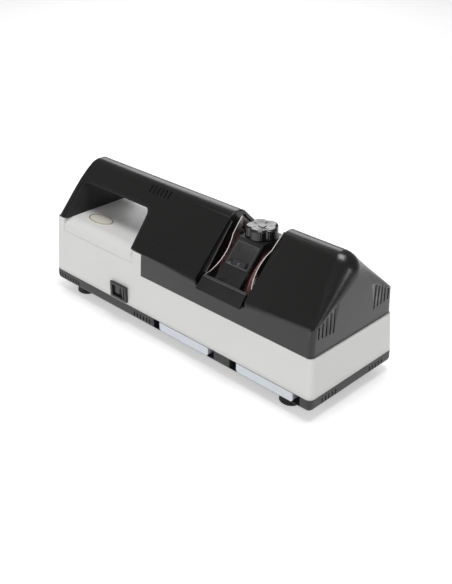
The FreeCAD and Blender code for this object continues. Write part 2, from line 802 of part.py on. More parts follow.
def make_blade_guide(label, hood, sign):
    plate = cell("strip_plate").number
    ridge = hood.number + 5.6 * sign
    bow = hood.number + 10.0 * sign
    end = hood.number + 1.2 * sign
    face = strip_face(hood.number, ridge, bow, end, plate)
    bottom = cell("head_floor").number - 6.0
    upright = face.extrude(Vector(0, 0, 70.0))
    upright.translate(Vector(0, 0, bottom))
    drop = cell("strip_drop").number
    depth = cell("strip_depth").number * 1.42
    crown = cell("ridge_corner").number
    slope = roof_slope.number
    reach = 50.0
    profile = [(-reach, crown - slope * reach - drop), (0.0, crown - drop), (reach, crown - slope * reach - drop),
               (reach, crown - slope * reach - drop - depth), (0.0, crown - drop - depth),
               (-reach, crown - slope * reach - drop - depth)]
    corners = [Vector(hood.number - 20.0, across, up) for across, up in profile]
    band = Part.Face(Part.makePolygon(corners + corners[:1])).extrude(Vector(40.0, 0, 0))
    strip = document.addObject("Part::Feature", label)
    strip.Shape = upright.common(band).removeSplitter()
    strip.Label = label
    return strip


# Wheels, hubs, spacer, nut and spindle, all turned about the spindle line

wheel_inner = cell("wheel_gap") / 2
wheel_outer = wheel_inner + cell("wheel_width")


def make_wheel(label, side):
    """Abrasive wheel with a slightly coned grinding face, thicker at its bore than at its rim."""
    body = new_body(label)
    lift_to_spindle(body)
    near = head_middle + wheel_inner * side
    rim = head_middle + (wheel_outer - 1.6) * side
    far = head_middle + wheel_outer * side
    turned(body, [(near, cell("wheel_bore")), (near, cell("wheel_radius")), (rim, cell("wheel_radius")),
                  (far, cell("wheel_radius") - 8.0), (far, cell("wheel_bore"))])
    return body


def make_wheel_hub(label, side):
    body = new_body(label)
    lift_to_spindle(body)
    bore = cell("spindle_radius")
    flange_near = head_middle + (wheel_inner - cell("flange_plate")) * side
    flange_far = head_middle + wheel_inner * side
    far = head_middle + (wheel_outer - 0.4) * side
    turned(body, [(flange_near, bore), (flange_near, cell("flange_radius")),
                  (flange_far, cell("flange_radius")), (flange_far, cell("wheel_bore")),
                  (far, cell("wheel_bore")), (far, bore)])
    return body


def make_wheel_spacer():
    body = new_body("wheel_spacer")
    lift_to_spindle(body)
    half = wheel_inner - cell("flange_plate")
    turned(body, [(head_middle - half, cell("spindle_radius")), (head_middle - half, cell("wheel_bore") - 0.5),
                  (head_middle + half, cell("wheel_bore") - 0.5), (head_middle + half, cell("spindle_radius"))])
    return body


def make_spindle():
    body = new_body("spindle")
    lift_to_spindle(body)
    radius = cell("spindle_radius")
    shoulder = head_middle + wheel_outer
    turned(body, [(14.0, 0.0), (14.0, radius - 0.8), (15.0, radius), (shoulder, radius),
                  (shoulder, radius + 5.0), (shoulder + 6.0, radius + 5.0), (shoulder + 6.0, radius),
                  (fan_start + cell("fan_width") + 0.5, radius), (fan_start + cell("fan_width") + 0.5, 0.0)])
    return body


def make_spindle_nut():
    body = new_body("spindle_nut")
    face = head_middle - wheel_outer
    lift_to_spindle(body)
    hexagon = new_sketch(body, "YZ_Plane", face)
    flat = 8.0
    side = flat * 1.1547
    draw_polygon(hexagon, [(side, 0.0), (side / 2, flat), (-side / 2, flat), (-side, 0.0), (-side / 2, -flat),
                           (side / 2, -flat)])
    draw_circle(hexagon, 0.0, 0.0, cell("spindle_radius"))
    pad(body, hexagon, 6.0, backwards=True)
    return body


# Induction motor: laminated core, winding ends, cage rotor, two shields, bearings and tie bolts

fan_start = stator_end + cell("shield_length") + 1.2


def make_ring(label, start, stop, inner, outer):
    body = new_body(label)
    lift_to_spindle(body)
    turned(body, [(start, inner), (start, outer), (stop, outer), (stop, inner)])
    return body


def make_stator_core():
    body = make_ring("stator_core", stator_start, stator_end, cell("rotor_radius") + cell("rotor_gap"),
                     cell("stator_radius"))
    cut_bolt_holes(body, stator_start - 1.0, cell("stator_length") + 2.0)
    return body


def bolt_circle(sketch, radius):
    reach = (cell("stator_radius") - 2.2) * 0.7071
    for across in (-1, 1):
        for up in (-1, 1):
            draw_circle(sketch, reach * across, reach * up, radius)


def cut_bolt_holes(body, start, length):
    holes = new_sketch(body, "YZ_Plane", start)
    bolt_circle(holes, 1.5)
    pocket(body, holes, length, backwards=True)


def make_stator_windings():
    body = new_body("stator_windings")
    lift_to_spindle(body)
    inner = cell("rotor_radius") + cell("rotor_gap") + 1.5
    outer = cell("stator_radius") - 4.6
    sleeve = inner + 1.0
    start = stator_start - 7.5
    stop = stator_end + 7.5
    sketch = new_sketch(body, "XZ_Plane")
    draw_polygon(sketch, [(start, sleeve), (start + 1.5, inner), (stator_start, inner), (stator_start, outer),
                          (start + 1.5, outer), (start, outer - 1.5)])
    draw_polygon(sketch, [(stop, sleeve), (stop - 1.5, inner), (stator_end, inner), (stator_end, outer),
                          (stop - 1.5, outer), (stop, outer - 1.5)])
    feature = body.newObject("PartDesign::Revolution", "winding_turning")
    feature.Profile = sketch
    feature.ReferenceAxis = (sketch, ["H_Axis"])
    feature.Angle = 360.0
    body.AllowCompound = True
    document.recompute()
    return body


def make_motor_shield(label, side):
    """Cup-shaped end shield: a rim on the core's face and a boss around the bearing."""
    body = new_body(label)
    lift_to_spindle(body)
    core = stator_start if side < 0 else stator_end
    outer_face = core + cell("shield_length") * side
    inner_face = outer_face - 1.6 * side
    boss_end = outer_face - (cell("bearing_width") + 0.6) * side
    rim_inner = cell("stator_radius") - 4.2
    boss = cell("bearing_radius") + 2.4
    bore = cell("spindle_radius") + 1.0
    turned(body, [(outer_face, bore), (outer_face, cell("stator_radius")), (core, cell("stator_radius")),
                  (core, rim_inner), (inner_face, rim_inner), (inner_face, boss), (boss_end, boss),
                  (boss_end, cell("bearing_radius")), (outer_face - 0.6 * side, cell("bearing_radius")),
                  (outer_face - 0.6 * side, bore)])
    start = outer_face - 1.0 if side < 0 else core - 1.0
    cut_bolt_holes(body, start, cell("shield_length") + 2.0)
    return body


def make_bearing(label, start):
    """Ball bearing as one ring with its shields sunk between the inner and the outer race."""
    stop = start + cell("bearing_width")
    inner = cell("spindle_radius") + cell("bearing_play")
    outer = cell("bearing_radius")
    body = new_body(label)
    lift_to_spindle(body)
    turned(body, [(start, inner), (start, inner + 2.0), (start + 0.5, inner + 2.0),
                  (start + 0.5, outer - 2.0), (start, outer - 2.0), (start, outer), (stop, outer),
                  (stop, outer - 2.0), (stop - 0.5, outer - 2.0), (stop - 0.5, inner + 2.0),
                  (stop, inner + 2.0), (stop, inner)])
    return body


def make_tie_bolts():
    body = new_body("motor_tie_bolts")
    lift_to_spindle(body)
    body.AllowCompound = True
    start = stator_start - cell("shield_length")
    shanks = new_sketch(body, "YZ_Plane", start)
    bolt_circle(shanks, 1.5)
    pad(body, shanks, cell("stator_length") + cell("shield_length") * 2)
    heads = new_sketch(body, "YZ_Plane", start)
    bolt_circle(heads, 2.6)
    pad(body, heads, 1.8, backwards=True)
    return body


def make_fan():
    body = new_body("cooling_fan")
    lift_to_spindle(body)
    hub = cell("spindle_radius") + 5.0
    stop = fan_start + cell("fan_width")
    turned(body, [(fan_start, cell("spindle_radius")), (fan_start, cell("fan_radius")),
                  (fan_start + 1.2, cell("fan_radius")), (fan_start + 1.2, hub), (stop, hub),
                  (stop, cell("spindle_radius"))])
    blade = new_sketch(body, "YZ_Plane", fan_start)
    draw_rectangle(blade, -0.8, 0.8, hub - 1.0, cell("fan_radius") - 0.6)
    blade_pad = pad(body, blade, cell("fan_width"))
    ring = body.newObject("PartDesign::PolarPattern", "fan_blades")
    ring.Originals = [blade_pad]
    planes = {feature.Role: feature for feature in body.Origin.OriginFeatures}
    ring.Axis = (planes["X_Axis"], [""])
    ring.Angle = 360.0
    ring.Occurrences = int(cell("fan_blades").number)
    body.Tip = ring
    document.recompute()
    return body


# Supports on the chassis plate

def make_bearing_pedestal():
    body = new_body("bearing_pedestal")
    outline = new_sketch(body, "YZ_Plane", 16.0)
    crest = cell("spindle_height") + cell("bearing_radius") + 3.5
    boss = cell("bearing_radius") + 4.0
    draw_polygon(outline, [(-24.0, plate_top), (24.0, plate_top), (24.0, plate_top + 4.0),
                           (boss, cell("spindle_height") - 12.0), (boss, cell("spindle_height") + 7.0),
                           (boss - 8.0, crest), (8.0 - boss, crest), (-boss, cell("spindle_height") + 7.0),
                           (-boss, cell("spindle_height") - 12.0), (-24.0, plate_top + 4.0)])
    pad(body, outline, 10.0)
    seat = new_sketch(body, "YZ_Plane", 18.0)
    draw_circle(seat, 0.0, cell("spindle_height"), cell("bearing_radius"))
    pocket(body, seat, 9.0, backwards=True)
    through = new_sketch(body, "YZ_Plane", 15.0)
    draw_circle(through, 0.0, cell("spindle_height"), cell("spindle_radius") + 2.0)
    pocket(body, through, 6.0, backwards=True)
    return body


def make_motor_cradle():
    body = new_body("motor_cradle")
    outline = new_sketch(body, "YZ_Plane", stator_start + 1.0)
    seat = cell("stator_radius") + fit_gap
    draw_polygon(outline, [(-36.0, plate_top), (36.0, plate_top), (36.0, plate_top + 3.0),
                           (30.0, cell("spindle_height") - seat * 0.66), (-30.0, cell("spindle_height") - seat * 0.66),
                           (-36.0, plate_top + 3.0)])
    pad(body, outline, cell("stator_length") - 2.0)
    bed = new_sketch(body, "YZ_Plane", stator_start)
    draw_circle(bed, 0.0, cell("spindle_height"), seat)
    pocket(body, bed, cell("stator_length") + 2.0, backwards=True)
    return body


clip_plate = as_size(1.5)
capacitor_height = plate_top + clip_plate + cell("capacitor_radius") + fit_gap * 2


def make_capacitor():
    body = new_body("run_capacitor")
    bind(body, ".Placement.Base.z", capacitor_height)
    bind(body, ".Placement.Base.y", 18.0)
    start = -104.0
    stop = start + cell("capacitor_length")
    radius = cell("capacitor_radius")
    turned(body, [(start, 0.0), (start, radius), (stop, radius), (stop, 4.0), (stop + 5.0, 4.0),
                  (stop + 5.0, 0.0)])
    return body


def make_capacitor_clip():
    body = new_body("capacitor_clip")
    outline = new_sketch(body, "YZ_Plane", -80.0)
    inner = cell("capacitor_radius") + fit_gap
    outer = inner + clip_plate
    tab = outer + 7.0
    middle = as_size(18.0)
    tab_top = plate_top + clip_plate
    shoulder = capacitor_height + 6.0
    crown = capacitor_height + outer
    draw_polygon(outline, [(middle - tab, plate_top), (middle + tab, plate_top), (middle + tab, tab_top),
                           (middle + outer, tab_top), (middle + outer, shoulder), (middle + 7.0, crown),
                           (middle - 7.0, crown), (middle - outer, shoulder), (middle - outer, tab_top),
                           (middle - tab, tab_top)])
    draw_circle(outline, middle, capacitor_height, inner)
    pad(body, outline, 14.0)
    return body


def make_dust_chute():
    """Bent sheet under the wheels that sheds the filings into the slots over both drawers."""
    body = new_body("dust_chute")
    outline = new_sketch(body, "XZ_Plane")
    left, crest, right = 50.6, head_middle + 5.0, 85.8
    top = plate_top + 9.0
    sheet_plate = 1.2
    draw_polygon(outline, [(left, plate_top), (left + 1.6, plate_top), (crest, top - sheet_plate),
                           (right - 1.6, plate_top), (right, plate_top), (right, plate_top + 0.8),
                           (crest, top), (left, plate_top + 0.8)])
    pad(body, outline, 72.0, middle=True)
    slot = new_sketch(body, "XY_Plane", plate_top + 12.0)
    draw_rectangle(slot, head_middle - cell("wing_plate") / 2 - fit_gap, head_middle + 9.0 + fit_gap,
                   -15.0 - fit_gap, 15.0 + fit_gap)
    pocket(body, slot, 14.0)
    return body


# Dust drawers, feet and screws

def make_drawer(label, side):
    body = new_body(label)
    bind(body, ".Placement.Base.x", drawer_centre(side))
    front = -half_width + fit_gap
    outline = new_sketch(body, "XZ_Plane", -front)
    half = cell("drawer_width") / 2
    draw_rectangle(outline, -half, half, drawer_floor, drawer_floor + cell("drawer_height"))
    pad(body, outline, cell("drawer_depth"), backwards=True)
    lowest = drawer_floor.number
    round_edges(body, lambda edge: flat_in(edge, "Z", lowest) and edge.BoundBox.XLength < 0.01, 2.4)
    wall = cell("drawer_wall")
    inside = new_sketch(body, "XY_Plane", drawer_floor + cell("drawer_height"))
    draw_rectangle(inside, -half + wall * 2, half - wall * 2, front + wall * 2,
                   front + cell("drawer_depth") - wall)
    pocket(body, inside, cell("drawer_height") - wall)
    return body


def make_foot(label, end, side):
    body = new_body(label)
    bind(body, ".Placement.Base.x", cell("foot_x") * end)
    bind(body, ".Placement.Base.y", cell("foot_y") * side)
    radius = cell("foot_radius")
    sketch = new_sketch(body, "XZ_Plane")
    bore = cell("screw_radius") + 0.2
    draw_polygon(sketch, [(bore, cell("table_gap")), (radius - 1.0, cell("table_gap")), (radius, 1.2),
                          (radius - 1.2, 0.0), (5.0, 0.0), (5.0, 4.0), (bore, 4.0)])
    feature = body.newObject("PartDesign::Revolution", label + "_turning")
    feature.Profile = sketch
    feature.ReferenceAxis = (sketch, ["V_Axis"])
    feature.Angle = 360.0
    document.recompute()
    return body


def make_foot_screws():
    body = new_body("foot_screws")
    body.AllowCompound = True
    shanks = new_sketch(body, "XY_Plane", 1.6)
    heads = new_sketch(body, "XY_Plane", 1.6)
    for side in (-1, 1):
        for end in (-1, 1):
            place = (cell("foot_x") * end, cell("foot_y") * side)
            draw_circle(shanks, place[0], place[1], cell("screw_radius"))
            draw_circle(heads, place[0], place[1], 4.0)
    pad(body, shanks, base_bottom + 2.4 - 1.6)
    pad(body, heads, 2.4)
    return body


# Rocker switch: its body with the bezel, and the rocker that tips about an upright pin

switch_face = half_width - draft * (cell("switch_z") - base_top)
rocker_pin_y = -switch_face + 2.6


def make_switch_body():
    body = new_body("switch_body")
    wide = cell("switch_width") / 2
    high = cell("switch_height") / 2
    bezel = new_sketch(body, "XZ_Plane", switch_face + fit_gap + draft * high)
    draw_rectangle(bezel, cell("switch_x") - wide, cell("switch_x") + wide, cell("switch_z") - high,
                   cell("switch_z") + high)
    pad(body, bezel, 2.0)
    shell = new_sketch(body, "XZ_Plane", switch_face + 1.0)
    draw_rectangle(shell, cell("switch_x") - 9.5, cell("switch_x") + 9.5, cell("switch_z") - 6.3,
                   cell("switch_z") + 6.3)
    pad(body, shell, 19.0, backwards=True)
    well = new_sketch(body, "XZ_Plane", switch_face + 3.0)
    draw_rectangle(well, cell("switch_x") - 8.6, cell("switch_x") + 8.6, cell("switch_z") - 5.4,
                   cell("switch_z") + 5.4)
    pocket(body, well, 12.0)
    pivot = new_sketch(body, "XY_Plane", cell("switch_z") + 7.0)
    draw_circle(pivot, cell("switch_x"), rocker_pin_y, cell("rocker_pin") + cell("pin_play"))
    pocket(body, pivot, 14.0)
    return body


def make_switch_rocker():
    body = new_body("switch_rocker")
    bind(body, ".Placement.Base.x", cell("switch_x"))
    bind(body, ".Placement.Base.y", rocker_pin_y)
    body.Placement = FreeCAD.Placement(body.Placement.Base, FreeCAD.Rotation(Vector(0, 0, 1), -8.0))
    bind(body, ".Placement.Rotation.Angle", -cell("rocker_tilt"))
    low = cell("switch_z") - 5.4 + fit_gap
    outline = new_sketch(body, "XY_Plane", low)
    draw_polygon(outline, [(-8.0, -4.4), (0.0, -3.0), (8.0, -4.4), (8.0, -1.0), (3.0, 2.9), (-3.0, 2.9),
                           (-8.0, -1.0)])
    pad(body, outline, (5.4 - fit_gap) * 2)
    pin = new_sketch(body, "XY_Plane", cell("switch_z") - 6.1)
    draw_circle(pin, 0.0, 0.0, cell("rocker_pin"))
    pad(body, pin, 12.2)
    return body


# Power inlet in the rear wall and its pins

def make_power_inlet():
    body = new_body("power_inlet")
    rear = half_width - draft * (cell("inlet_z") - base_top)
    flange_plate = 2.6
    flange_seat = rear + fit_gap + draft * 12.0
    flange = new_sketch(body, "XZ_Plane", -flange_seat)
    across, up = cell("inlet_x"), cell("inlet_z")
    draw_rectangle(flange, across - 16.0, across + 16.0, up - 12.0, up + 12.0)
    pad(body, flange, flange_plate, backwards=True)
    shell = new_sketch(body, "XZ_Plane", -rear - 1.0)
    draw_rectangle(shell, across - 13.7, across + 13.7, up - 9.9, up + 9.9)
    pad(body, shell, 19.0)
    in_front = flange_seat + flange_plate + 1.0
    socket = new_sketch(body, "XZ_Plane", -in_front)
    draw_polygon(socket, [(across - 12.0, up - 8.0), (across + 12.0, up - 8.0), (across + 12.0, up + 3.5),
                          (across + 7.5, up + 8.0), (across - 7.5, up + 8.0), (across - 12.0, up + 3.5)])
    pocket(body, socket, in_front - rear + 13.5, backwards=True)
    return body


def make_inlet_pins():
    body = new_body("inlet_pins")
    body.AllowCompound = True
    rear = half_width - draft * (cell("inlet_z") - base_top)
    across, up = cell("inlet_x"), cell("inlet_z")
    pins = new_sketch(body, "XZ_Plane", -rear + 13.5)
    for offset, height in ((-7.0, 1.5), (7.0, 1.5), (0.0, -2.5)):
        draw_rectangle(pins, across + offset - 1.0, across + offset + 1.0, up + height - 2.0, up + height + 2.0)
    pad(body, pins, 12.0, backwards=True)
    return body


# Oval plate on the deck, left bare

def make_oval_plate():
    half_long = 16.5
    half_short = 8.6
    centre = Vector(-121.0, -29.4, cell("deck_height").number)
    rim = Part.Ellipse(centre, half_long, half_short).toShape()
    plate = document.addObject("Part::Feature", "oval_plate")
    plate.Shape = Part.Face(Part.Wire([rim])).extrude(Vector(0, 0, 0.7))
    plate.Label = "oval_plate"
    return plate


def make_all():
    pedestal_bearing_start = as_size(18.0)
    front_bearing_start = stator_start - cell("shield_length") + 0.6
    rear_bearing_start = stator_end + cell("shield_length") - 0.6 - cell("bearing_width")
    pieces = [
        make_base_tray(), make_chassis_plate(), make_lower_housing(), make_top_cover(), make_handle_liner(),
        make_wheel_guard(), make_star_knob(), make_knob_stud(), make_centre_plate(),
        make_blade_guide("left_blade_guide", cell("head_left"), 1),
        make_blade_guide("right_blade_guide", cell("head_right"), -1),
        make_wheel("left_grinding_wheel", -1), make_wheel("right_grinding_wheel", 1),
        make_wheel_hub("left_wheel_hub", -1), make_wheel_hub("right_wheel_hub", 1), make_wheel_spacer(),
        make_spindle(), make_spindle_nut(), make_stator_core(), make_stator_windings(),
        make_ring("rotor_core", stator_start, stator_end, cell("spindle_radius"), cell("rotor_radius")),
        make_motor_shield("front_motor_shield", -1), make_motor_shield("rear_motor_shield", 1),
        make_bearing("front_motor_bearing", front_bearing_start),
        make_bearing("rear_motor_bearing", rear_bearing_start),
        make_bearing("pedestal_bearing", pedestal_bearing_start), make_tie_bolts(), make_fan(),
        make_bearing_pedestal(), make_motor_cradle(), make_capacitor(), make_capacitor_clip(),
        make_dust_chute(), make_drawer("left_dust_drawer", -1), make_drawer("right_dust_drawer", 1),
        make_foot("front_left_foot", -1, -1), make_foot("front_right_foot", 1, -1),
        make_foot("rear_left_foot", -1, 1), make_foot("rear_right_foot", 1, 1), make_foot_screws(),
        make_switch_body(), make_switch_rocker(), make_power_inlet(), make_inlet_pins(), make_oval_plate(),
    ]
    return pieces


def check_document():
    for thing in document.Objects:
        if "Invalid" in thing.State or "Error" in thing.State:
            raise RuntimeError("%s failed: %s" % (thing.Label, thing.State))


def write_pieces(pieces):
    os.makedirs("parts", exist_ok=True)
    for piece in pieces:
        shape = piece.Shape
        if shape.isNull() or not shape.isValid():
            raise RuntimeError("%s has no valid shape" % piece.Label)
        shape.exportStep("parts/%s.step" % piece.Label)
        print(piece.Label, len(shape.Solids), round(shape.Volume, 1))


made = make_all()
document.recompute()
check_document()
write_pieces(made)
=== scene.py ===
import math
import bmesh
import bpy
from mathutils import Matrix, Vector


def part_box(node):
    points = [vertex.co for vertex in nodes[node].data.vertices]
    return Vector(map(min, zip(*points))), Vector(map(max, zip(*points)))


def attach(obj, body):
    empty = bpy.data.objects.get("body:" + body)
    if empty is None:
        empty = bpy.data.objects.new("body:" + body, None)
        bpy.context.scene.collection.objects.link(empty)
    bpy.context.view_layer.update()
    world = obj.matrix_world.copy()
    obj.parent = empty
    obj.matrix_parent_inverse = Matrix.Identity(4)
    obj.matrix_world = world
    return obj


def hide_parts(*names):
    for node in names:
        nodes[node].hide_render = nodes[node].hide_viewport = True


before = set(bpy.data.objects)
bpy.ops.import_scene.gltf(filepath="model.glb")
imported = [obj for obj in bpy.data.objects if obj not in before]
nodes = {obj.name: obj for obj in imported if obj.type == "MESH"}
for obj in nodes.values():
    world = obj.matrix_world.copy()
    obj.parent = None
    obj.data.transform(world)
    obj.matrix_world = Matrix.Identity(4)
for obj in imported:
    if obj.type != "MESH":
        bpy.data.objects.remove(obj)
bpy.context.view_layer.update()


# Shared places, in metres. The two slopes of the roof would meet at ridge_corner, and they fall by roof_rise
# for each metre outward.

ridge_corner = 0.1327
roof_rise = 1.0102
spindle_height = 0.068
sides = {"front": -1, "rear": 1}


# Shared materials: moulded, cast and plated surfaces all start from one shader group of grain and patches.

def new_material(name):
    """A new material, with its node tree and its main shader."""
    material = bpy.data.materials.new(name)
    material.use_nodes = True
    return material, material.node_tree, material.node_tree.nodes["Principled BSDF"]


def map_range(tree, to_low=0.0, to_high=1.0, from_low=0.0, from_high=1.0):
    """A node that maps one range of values to another and stops at its ends."""
    made = tree.nodes.new("ShaderNodeMapRange")
    made.inputs["From Min"].default_value = from_low
    made.inputs["From Max"].default_value = from_high
    made.inputs["To Min"].default_value = to_low
    made.inputs["To Max"].default_value = to_high
    return made


def colour_mix(tree, first=None, second=None):
    """A node that mixes two colours. One that isn't given is linked in later."""
    made = tree.nodes.new("ShaderNodeMix")
    made.data_type = "RGBA"
    for socket, colour in (("A", first), ("B", second)):
        if colour:
            made.inputs[socket].default_value = (*colour, 1.0)
    return made


def surface_grain_group():
    """Shader group: grain height and a slow patchiness that every moulded or ground surface uses."""
    group = bpy.data.node_groups.new("surface_grain", "ShaderNodeTree")
    face = group.interface
    face.new_socket("Grain Size", in_out="INPUT", socket_type="NodeSocketFloat").default_value = 1500.0
    face.new_socket("Patch Size", in_out="INPUT", socket_type="NodeSocketFloat").default_value = 18.0
    face.new_socket("Height", in_out="OUTPUT", socket_type="NodeSocketFloat")
    face.new_socket("Patch", in_out="OUTPUT", socket_type="NodeSocketFloat")
    tree = group.nodes
    given = tree.new("NodeGroupInput")
    result = tree.new("NodeGroupOutput")
    place = tree.new("ShaderNodeTexCoord")
    grain = tree.new("ShaderNodeTexNoise")
    grain.inputs["Detail"].default_value = 2.0
    patch = tree.new("ShaderNodeTexNoise")
    patch.inputs["Detail"].default_value = 4.0
    link = group.links.new
    link(place.outputs["Object"], grain.inputs["Vector"])
    link(place.outputs["Object"], patch.inputs["Vector"])
    link(given.outputs["Grain Size"], grain.inputs["Scale"])
    link(given.outputs["Patch Size"], patch.inputs["Scale"])
    link(grain.outputs["Fac"], result.inputs["Height"])
    link(patch.outputs["Fac"], result.inputs["Patch"])
    return group


grain_group = surface_grain_group()


def finish_material(name, colour, second_colour, roughness, roughness_spread, grain_size, patch_size, bump,
                    metallic=0.0, coat=0.0, specular=0.5, edge=0.0006):
    """A surface whose colour and roughness wander a little, over a fine bump of its own grain."""
    material, tree, shader = new_material(name)
    shader.inputs["Metallic"].default_value = metallic
    shader.inputs["Coat Weight"].default_value = coat
    shader.inputs["Specular IOR Level"].default_value = specular
    grain = tree.nodes.new("ShaderNodeGroup")
    grain.node_tree = grain_group
    grain.inputs["Grain Size"].default_value = grain_size
    grain.inputs["Patch Size"].default_value = patch_size
    tint = colour_mix(tree, colour, second_colour)
    gloss = map_range(tree, roughness - roughness_spread, roughness + roughness_spread, from_low=0.3, from_high=0.7)
    relief = tree.nodes.new("ShaderNodeBump")
    relief.inputs["Strength"].default_value = 0.5
    relief.inputs["Distance"].default_value = bump
    soft_edge = tree.nodes.new("ShaderNodeBevel")
    soft_edge.samples = 6
    soft_edge.inputs["Radius"].default_value = edge
    link = tree.links.new
    link(soft_edge.outputs["Normal"], relief.inputs["Normal"])
    link(grain.outputs["Patch"], tint.inputs["Factor"])
    link(grain.outputs["Patch"], gloss.inputs["Value"])
    link(grain.outputs["Height"], relief.inputs["Height"])
    link(tint.outputs["Result"], shader.inputs["Base Color"])
    link(gloss.outputs["Result"], shader.inputs["Roughness"])
    link(relief.outputs["Normal"], shader.inputs["Normal"])
    return material


def dress(material, *names):
    """Gives one material to the named nodes of the frame."""
    for name in names:
        node = nodes[name]
        node.data.materials.clear()
        node.data.materials.append(material)


# Shared shapes: how a mesh is copied, closed and made into a piece.

same_place = 0.00001


def merged_copy(name):
    """An editable copy of a node's mesh, with the corners that share a place made one."""
    mesh = bmesh.new()
    mesh.from_mesh(nodes[name].data)
    bmesh.ops.remove_doubles(mesh, verts=mesh.verts, dist=same_place)
    mesh.normal_update()
    return mesh


def finished_object(name, mesh, material, body, sharp=32):
    """An object from an edited mesh, smooth up to the sharp angle and on its body if it has one."""
    bmesh.ops.recalc_face_normals(mesh, faces=mesh.faces)
    data = bpy.data.meshes.new(name)
    mesh.to_mesh(data)
    mesh.free()
    made = bpy.data.objects.new(name, data)
    bpy.context.scene.collection.objects.link(made)
    made.data.materials.append(material)
    for face in made.data.polygons:
        face.use_smooth = True
    made.data.set_sharp_from_angle(angle=math.radians(sharp))
    weighted = made.modifiers.new("face_weighted_normals", "WEIGHTED_NORMAL")
    weighted.keep_sharp = True
    weighted.weight = 100
    if body:
        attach(made, body)
    return made


def join_rings(mesh, lower, upper):
    """A band of four-sided faces between two rings that have as many corners."""
    for index in range(len(lower)):
        after = (index + 1) % len(lower)
        mesh.faces.new((lower[index], lower[after], upper[after], upper[index]))


# Base tray: a low dark grey moulded tray with a fine satin grain, slots for air at the front and the
# motor end, and two wide mouths for the drawers. It is one injection moulding.

base_plastic = finish_material("base_satin_grey", (0.022, 0.022, 0.024), (0.030, 0.030, 0.032), roughness=0.48,
                               roughness_spread=0.06, grain_size=2600.0, patch_size=22.0, bump=0.00008)
dress(base_plastic, "base_tray")


# Lower housing: the white shell of the machine, moulded in a hard satin plastic. Its colour is a little darker
# along its foot, where it meets the tray.

case_foot = 0.0205
foot_darkening_top = 0.0245
foot_darkening_share = 0.35


def housing_material():
    """White plastic that is a little darker near its foot."""
    material = finish_material("housing_white", (0.80, 0.80, 0.79), (0.84, 0.84, 0.83), roughness=0.40,
                               roughness_spread=0.05, grain_size=2200.0, patch_size=14.0, bump=0.00006)
    tree = material.node_tree
    place = tree.nodes.new("ShaderNodeTexCoord")
    split = tree.nodes.new("ShaderNodeSeparateXYZ")
    # Darker towards the bottom, over the few millimetres above the housing's foot.
    low = map_range(tree, foot_darkening_share, 0.0, from_low=case_foot, from_high=foot_darkening_top)
    foot_darkening = colour_mix(tree, second=(0.42, 0.41, 0.38))
    shader = tree.nodes["Principled BSDF"]
    before = shader.inputs["Base Color"].links[0].from_socket
    link = tree.links.new
    link(place.outputs["Object"], split.inputs["Vector"])
    link(split.outputs["Z"], low.inputs["Value"])
    link(low.outputs["Result"], foot_darkening.inputs["Factor"])
    link(before, foot_darkening.inputs["A"])
    link(foot_darkening.outputs["Result"], shader.inputs["Base Color"])
    return material


dress(housing_material(), "lower_housing")


# Top cover: the black roof-shaped moulding with the carrying handle. It has a soft gloss with a faint
# orange peel, and its tone wanders a little. The case it stands on gives it its width and side draft.

cover_gloss = finish_material("cover_soft_gloss_black", (0.0075, 0.0068, 0.0065), (0.0105, 0.0095, 0.009),
                              roughness=0.30, roughness_spread=0.05, grain_size=900.0, patch_size=9.0,
                              bump=0.00005, coat=0.15)
dress(cover_gloss, "top_cover")

case_half_width = 0.0555
case_draft = 0.056
corner_radius = 0.005
corner_steps = 8
trim_room = 0.00002


def mirror_front_half(mesh):
    """Both halves of the cover are alike: the rear one is made from the front one."""
    everything = list(mesh.verts) + list(mesh.edges) + list(mesh.faces)
    bmesh.ops.bisect_plane(mesh, geom=everything, plane_co=(0, 0, 0), plane_no=(0, 1, 0), clear_outer=True,
                           dist=0.000001)
    copied = bmesh.ops.duplicate(mesh, geom=list(mesh.verts) + list(mesh.edges) + list(mesh.faces))["geom"]
    for item in copied:
        if isinstance(item, bmesh.types.BMVert):
            item.co.y = -item.co.y
    bmesh.ops.reverse_faces(mesh, faces=[item for item in copied if isinstance(item, bmesh.types.BMFace)])
    bmesh.ops.remove_doubles(mesh, verts=mesh.verts, dist=same_place)
    mesh.normal_update()


def close_front_slots(mesh):
    """The motor hood has its ridge slots on the rear slope only."""
    slots_left, slots_right, slots_foot, slots_top = 0.0955, 0.1115, 0.1175, 0.1250

    def inside(corner):
        x, y, z = corner.co
        return slots_left < x < slots_right and y < 0 and slots_foot < z < slots_top

    walls = [face for face in mesh.faces
             if all(inside(corner) for corner in face.verts) and max(abs(face.normal.x), abs(face.normal.z)) > 0.9]
    bmesh.ops.delete(mesh, geom=walls, context="FACES_ONLY")
    rims = [edge for edge in mesh.edges if edge.is_boundary]
    bmesh.ops.holes_fill(mesh, edges=rims, sides=0)


def corner_block(right):
    """A tall block with the case's side draft and upright corners, for trimming the cover's motor end."""
    left, foot, top = -0.172, 0.050, 0.140
    mesh = bmesh.new()
    rings = []
    for height in (foot, top):
        half = case_half_width - case_draft * (height - case_foot) + trim_room
        ring = [(left, -half), (right - corner_radius, -half)]
        for step in range(1, corner_steps + 1):
            turn = math.pi / 2 * step / corner_steps
            ring.append((right - corner_radius + corner_radius * math.sin(turn),
                         -half + corner_radius - corner_radius * math.cos(turn)))
        ring += [(across, -along) for across, along in reversed(ring)]
        rings.append([mesh.verts.new((across, along, height)) for across, along in ring])
    join_rings(mesh, rings[0], rings[1])
    mesh.faces.new(rings[1])
    mesh.faces.new(list(reversed(rings[0])))
    return mesh


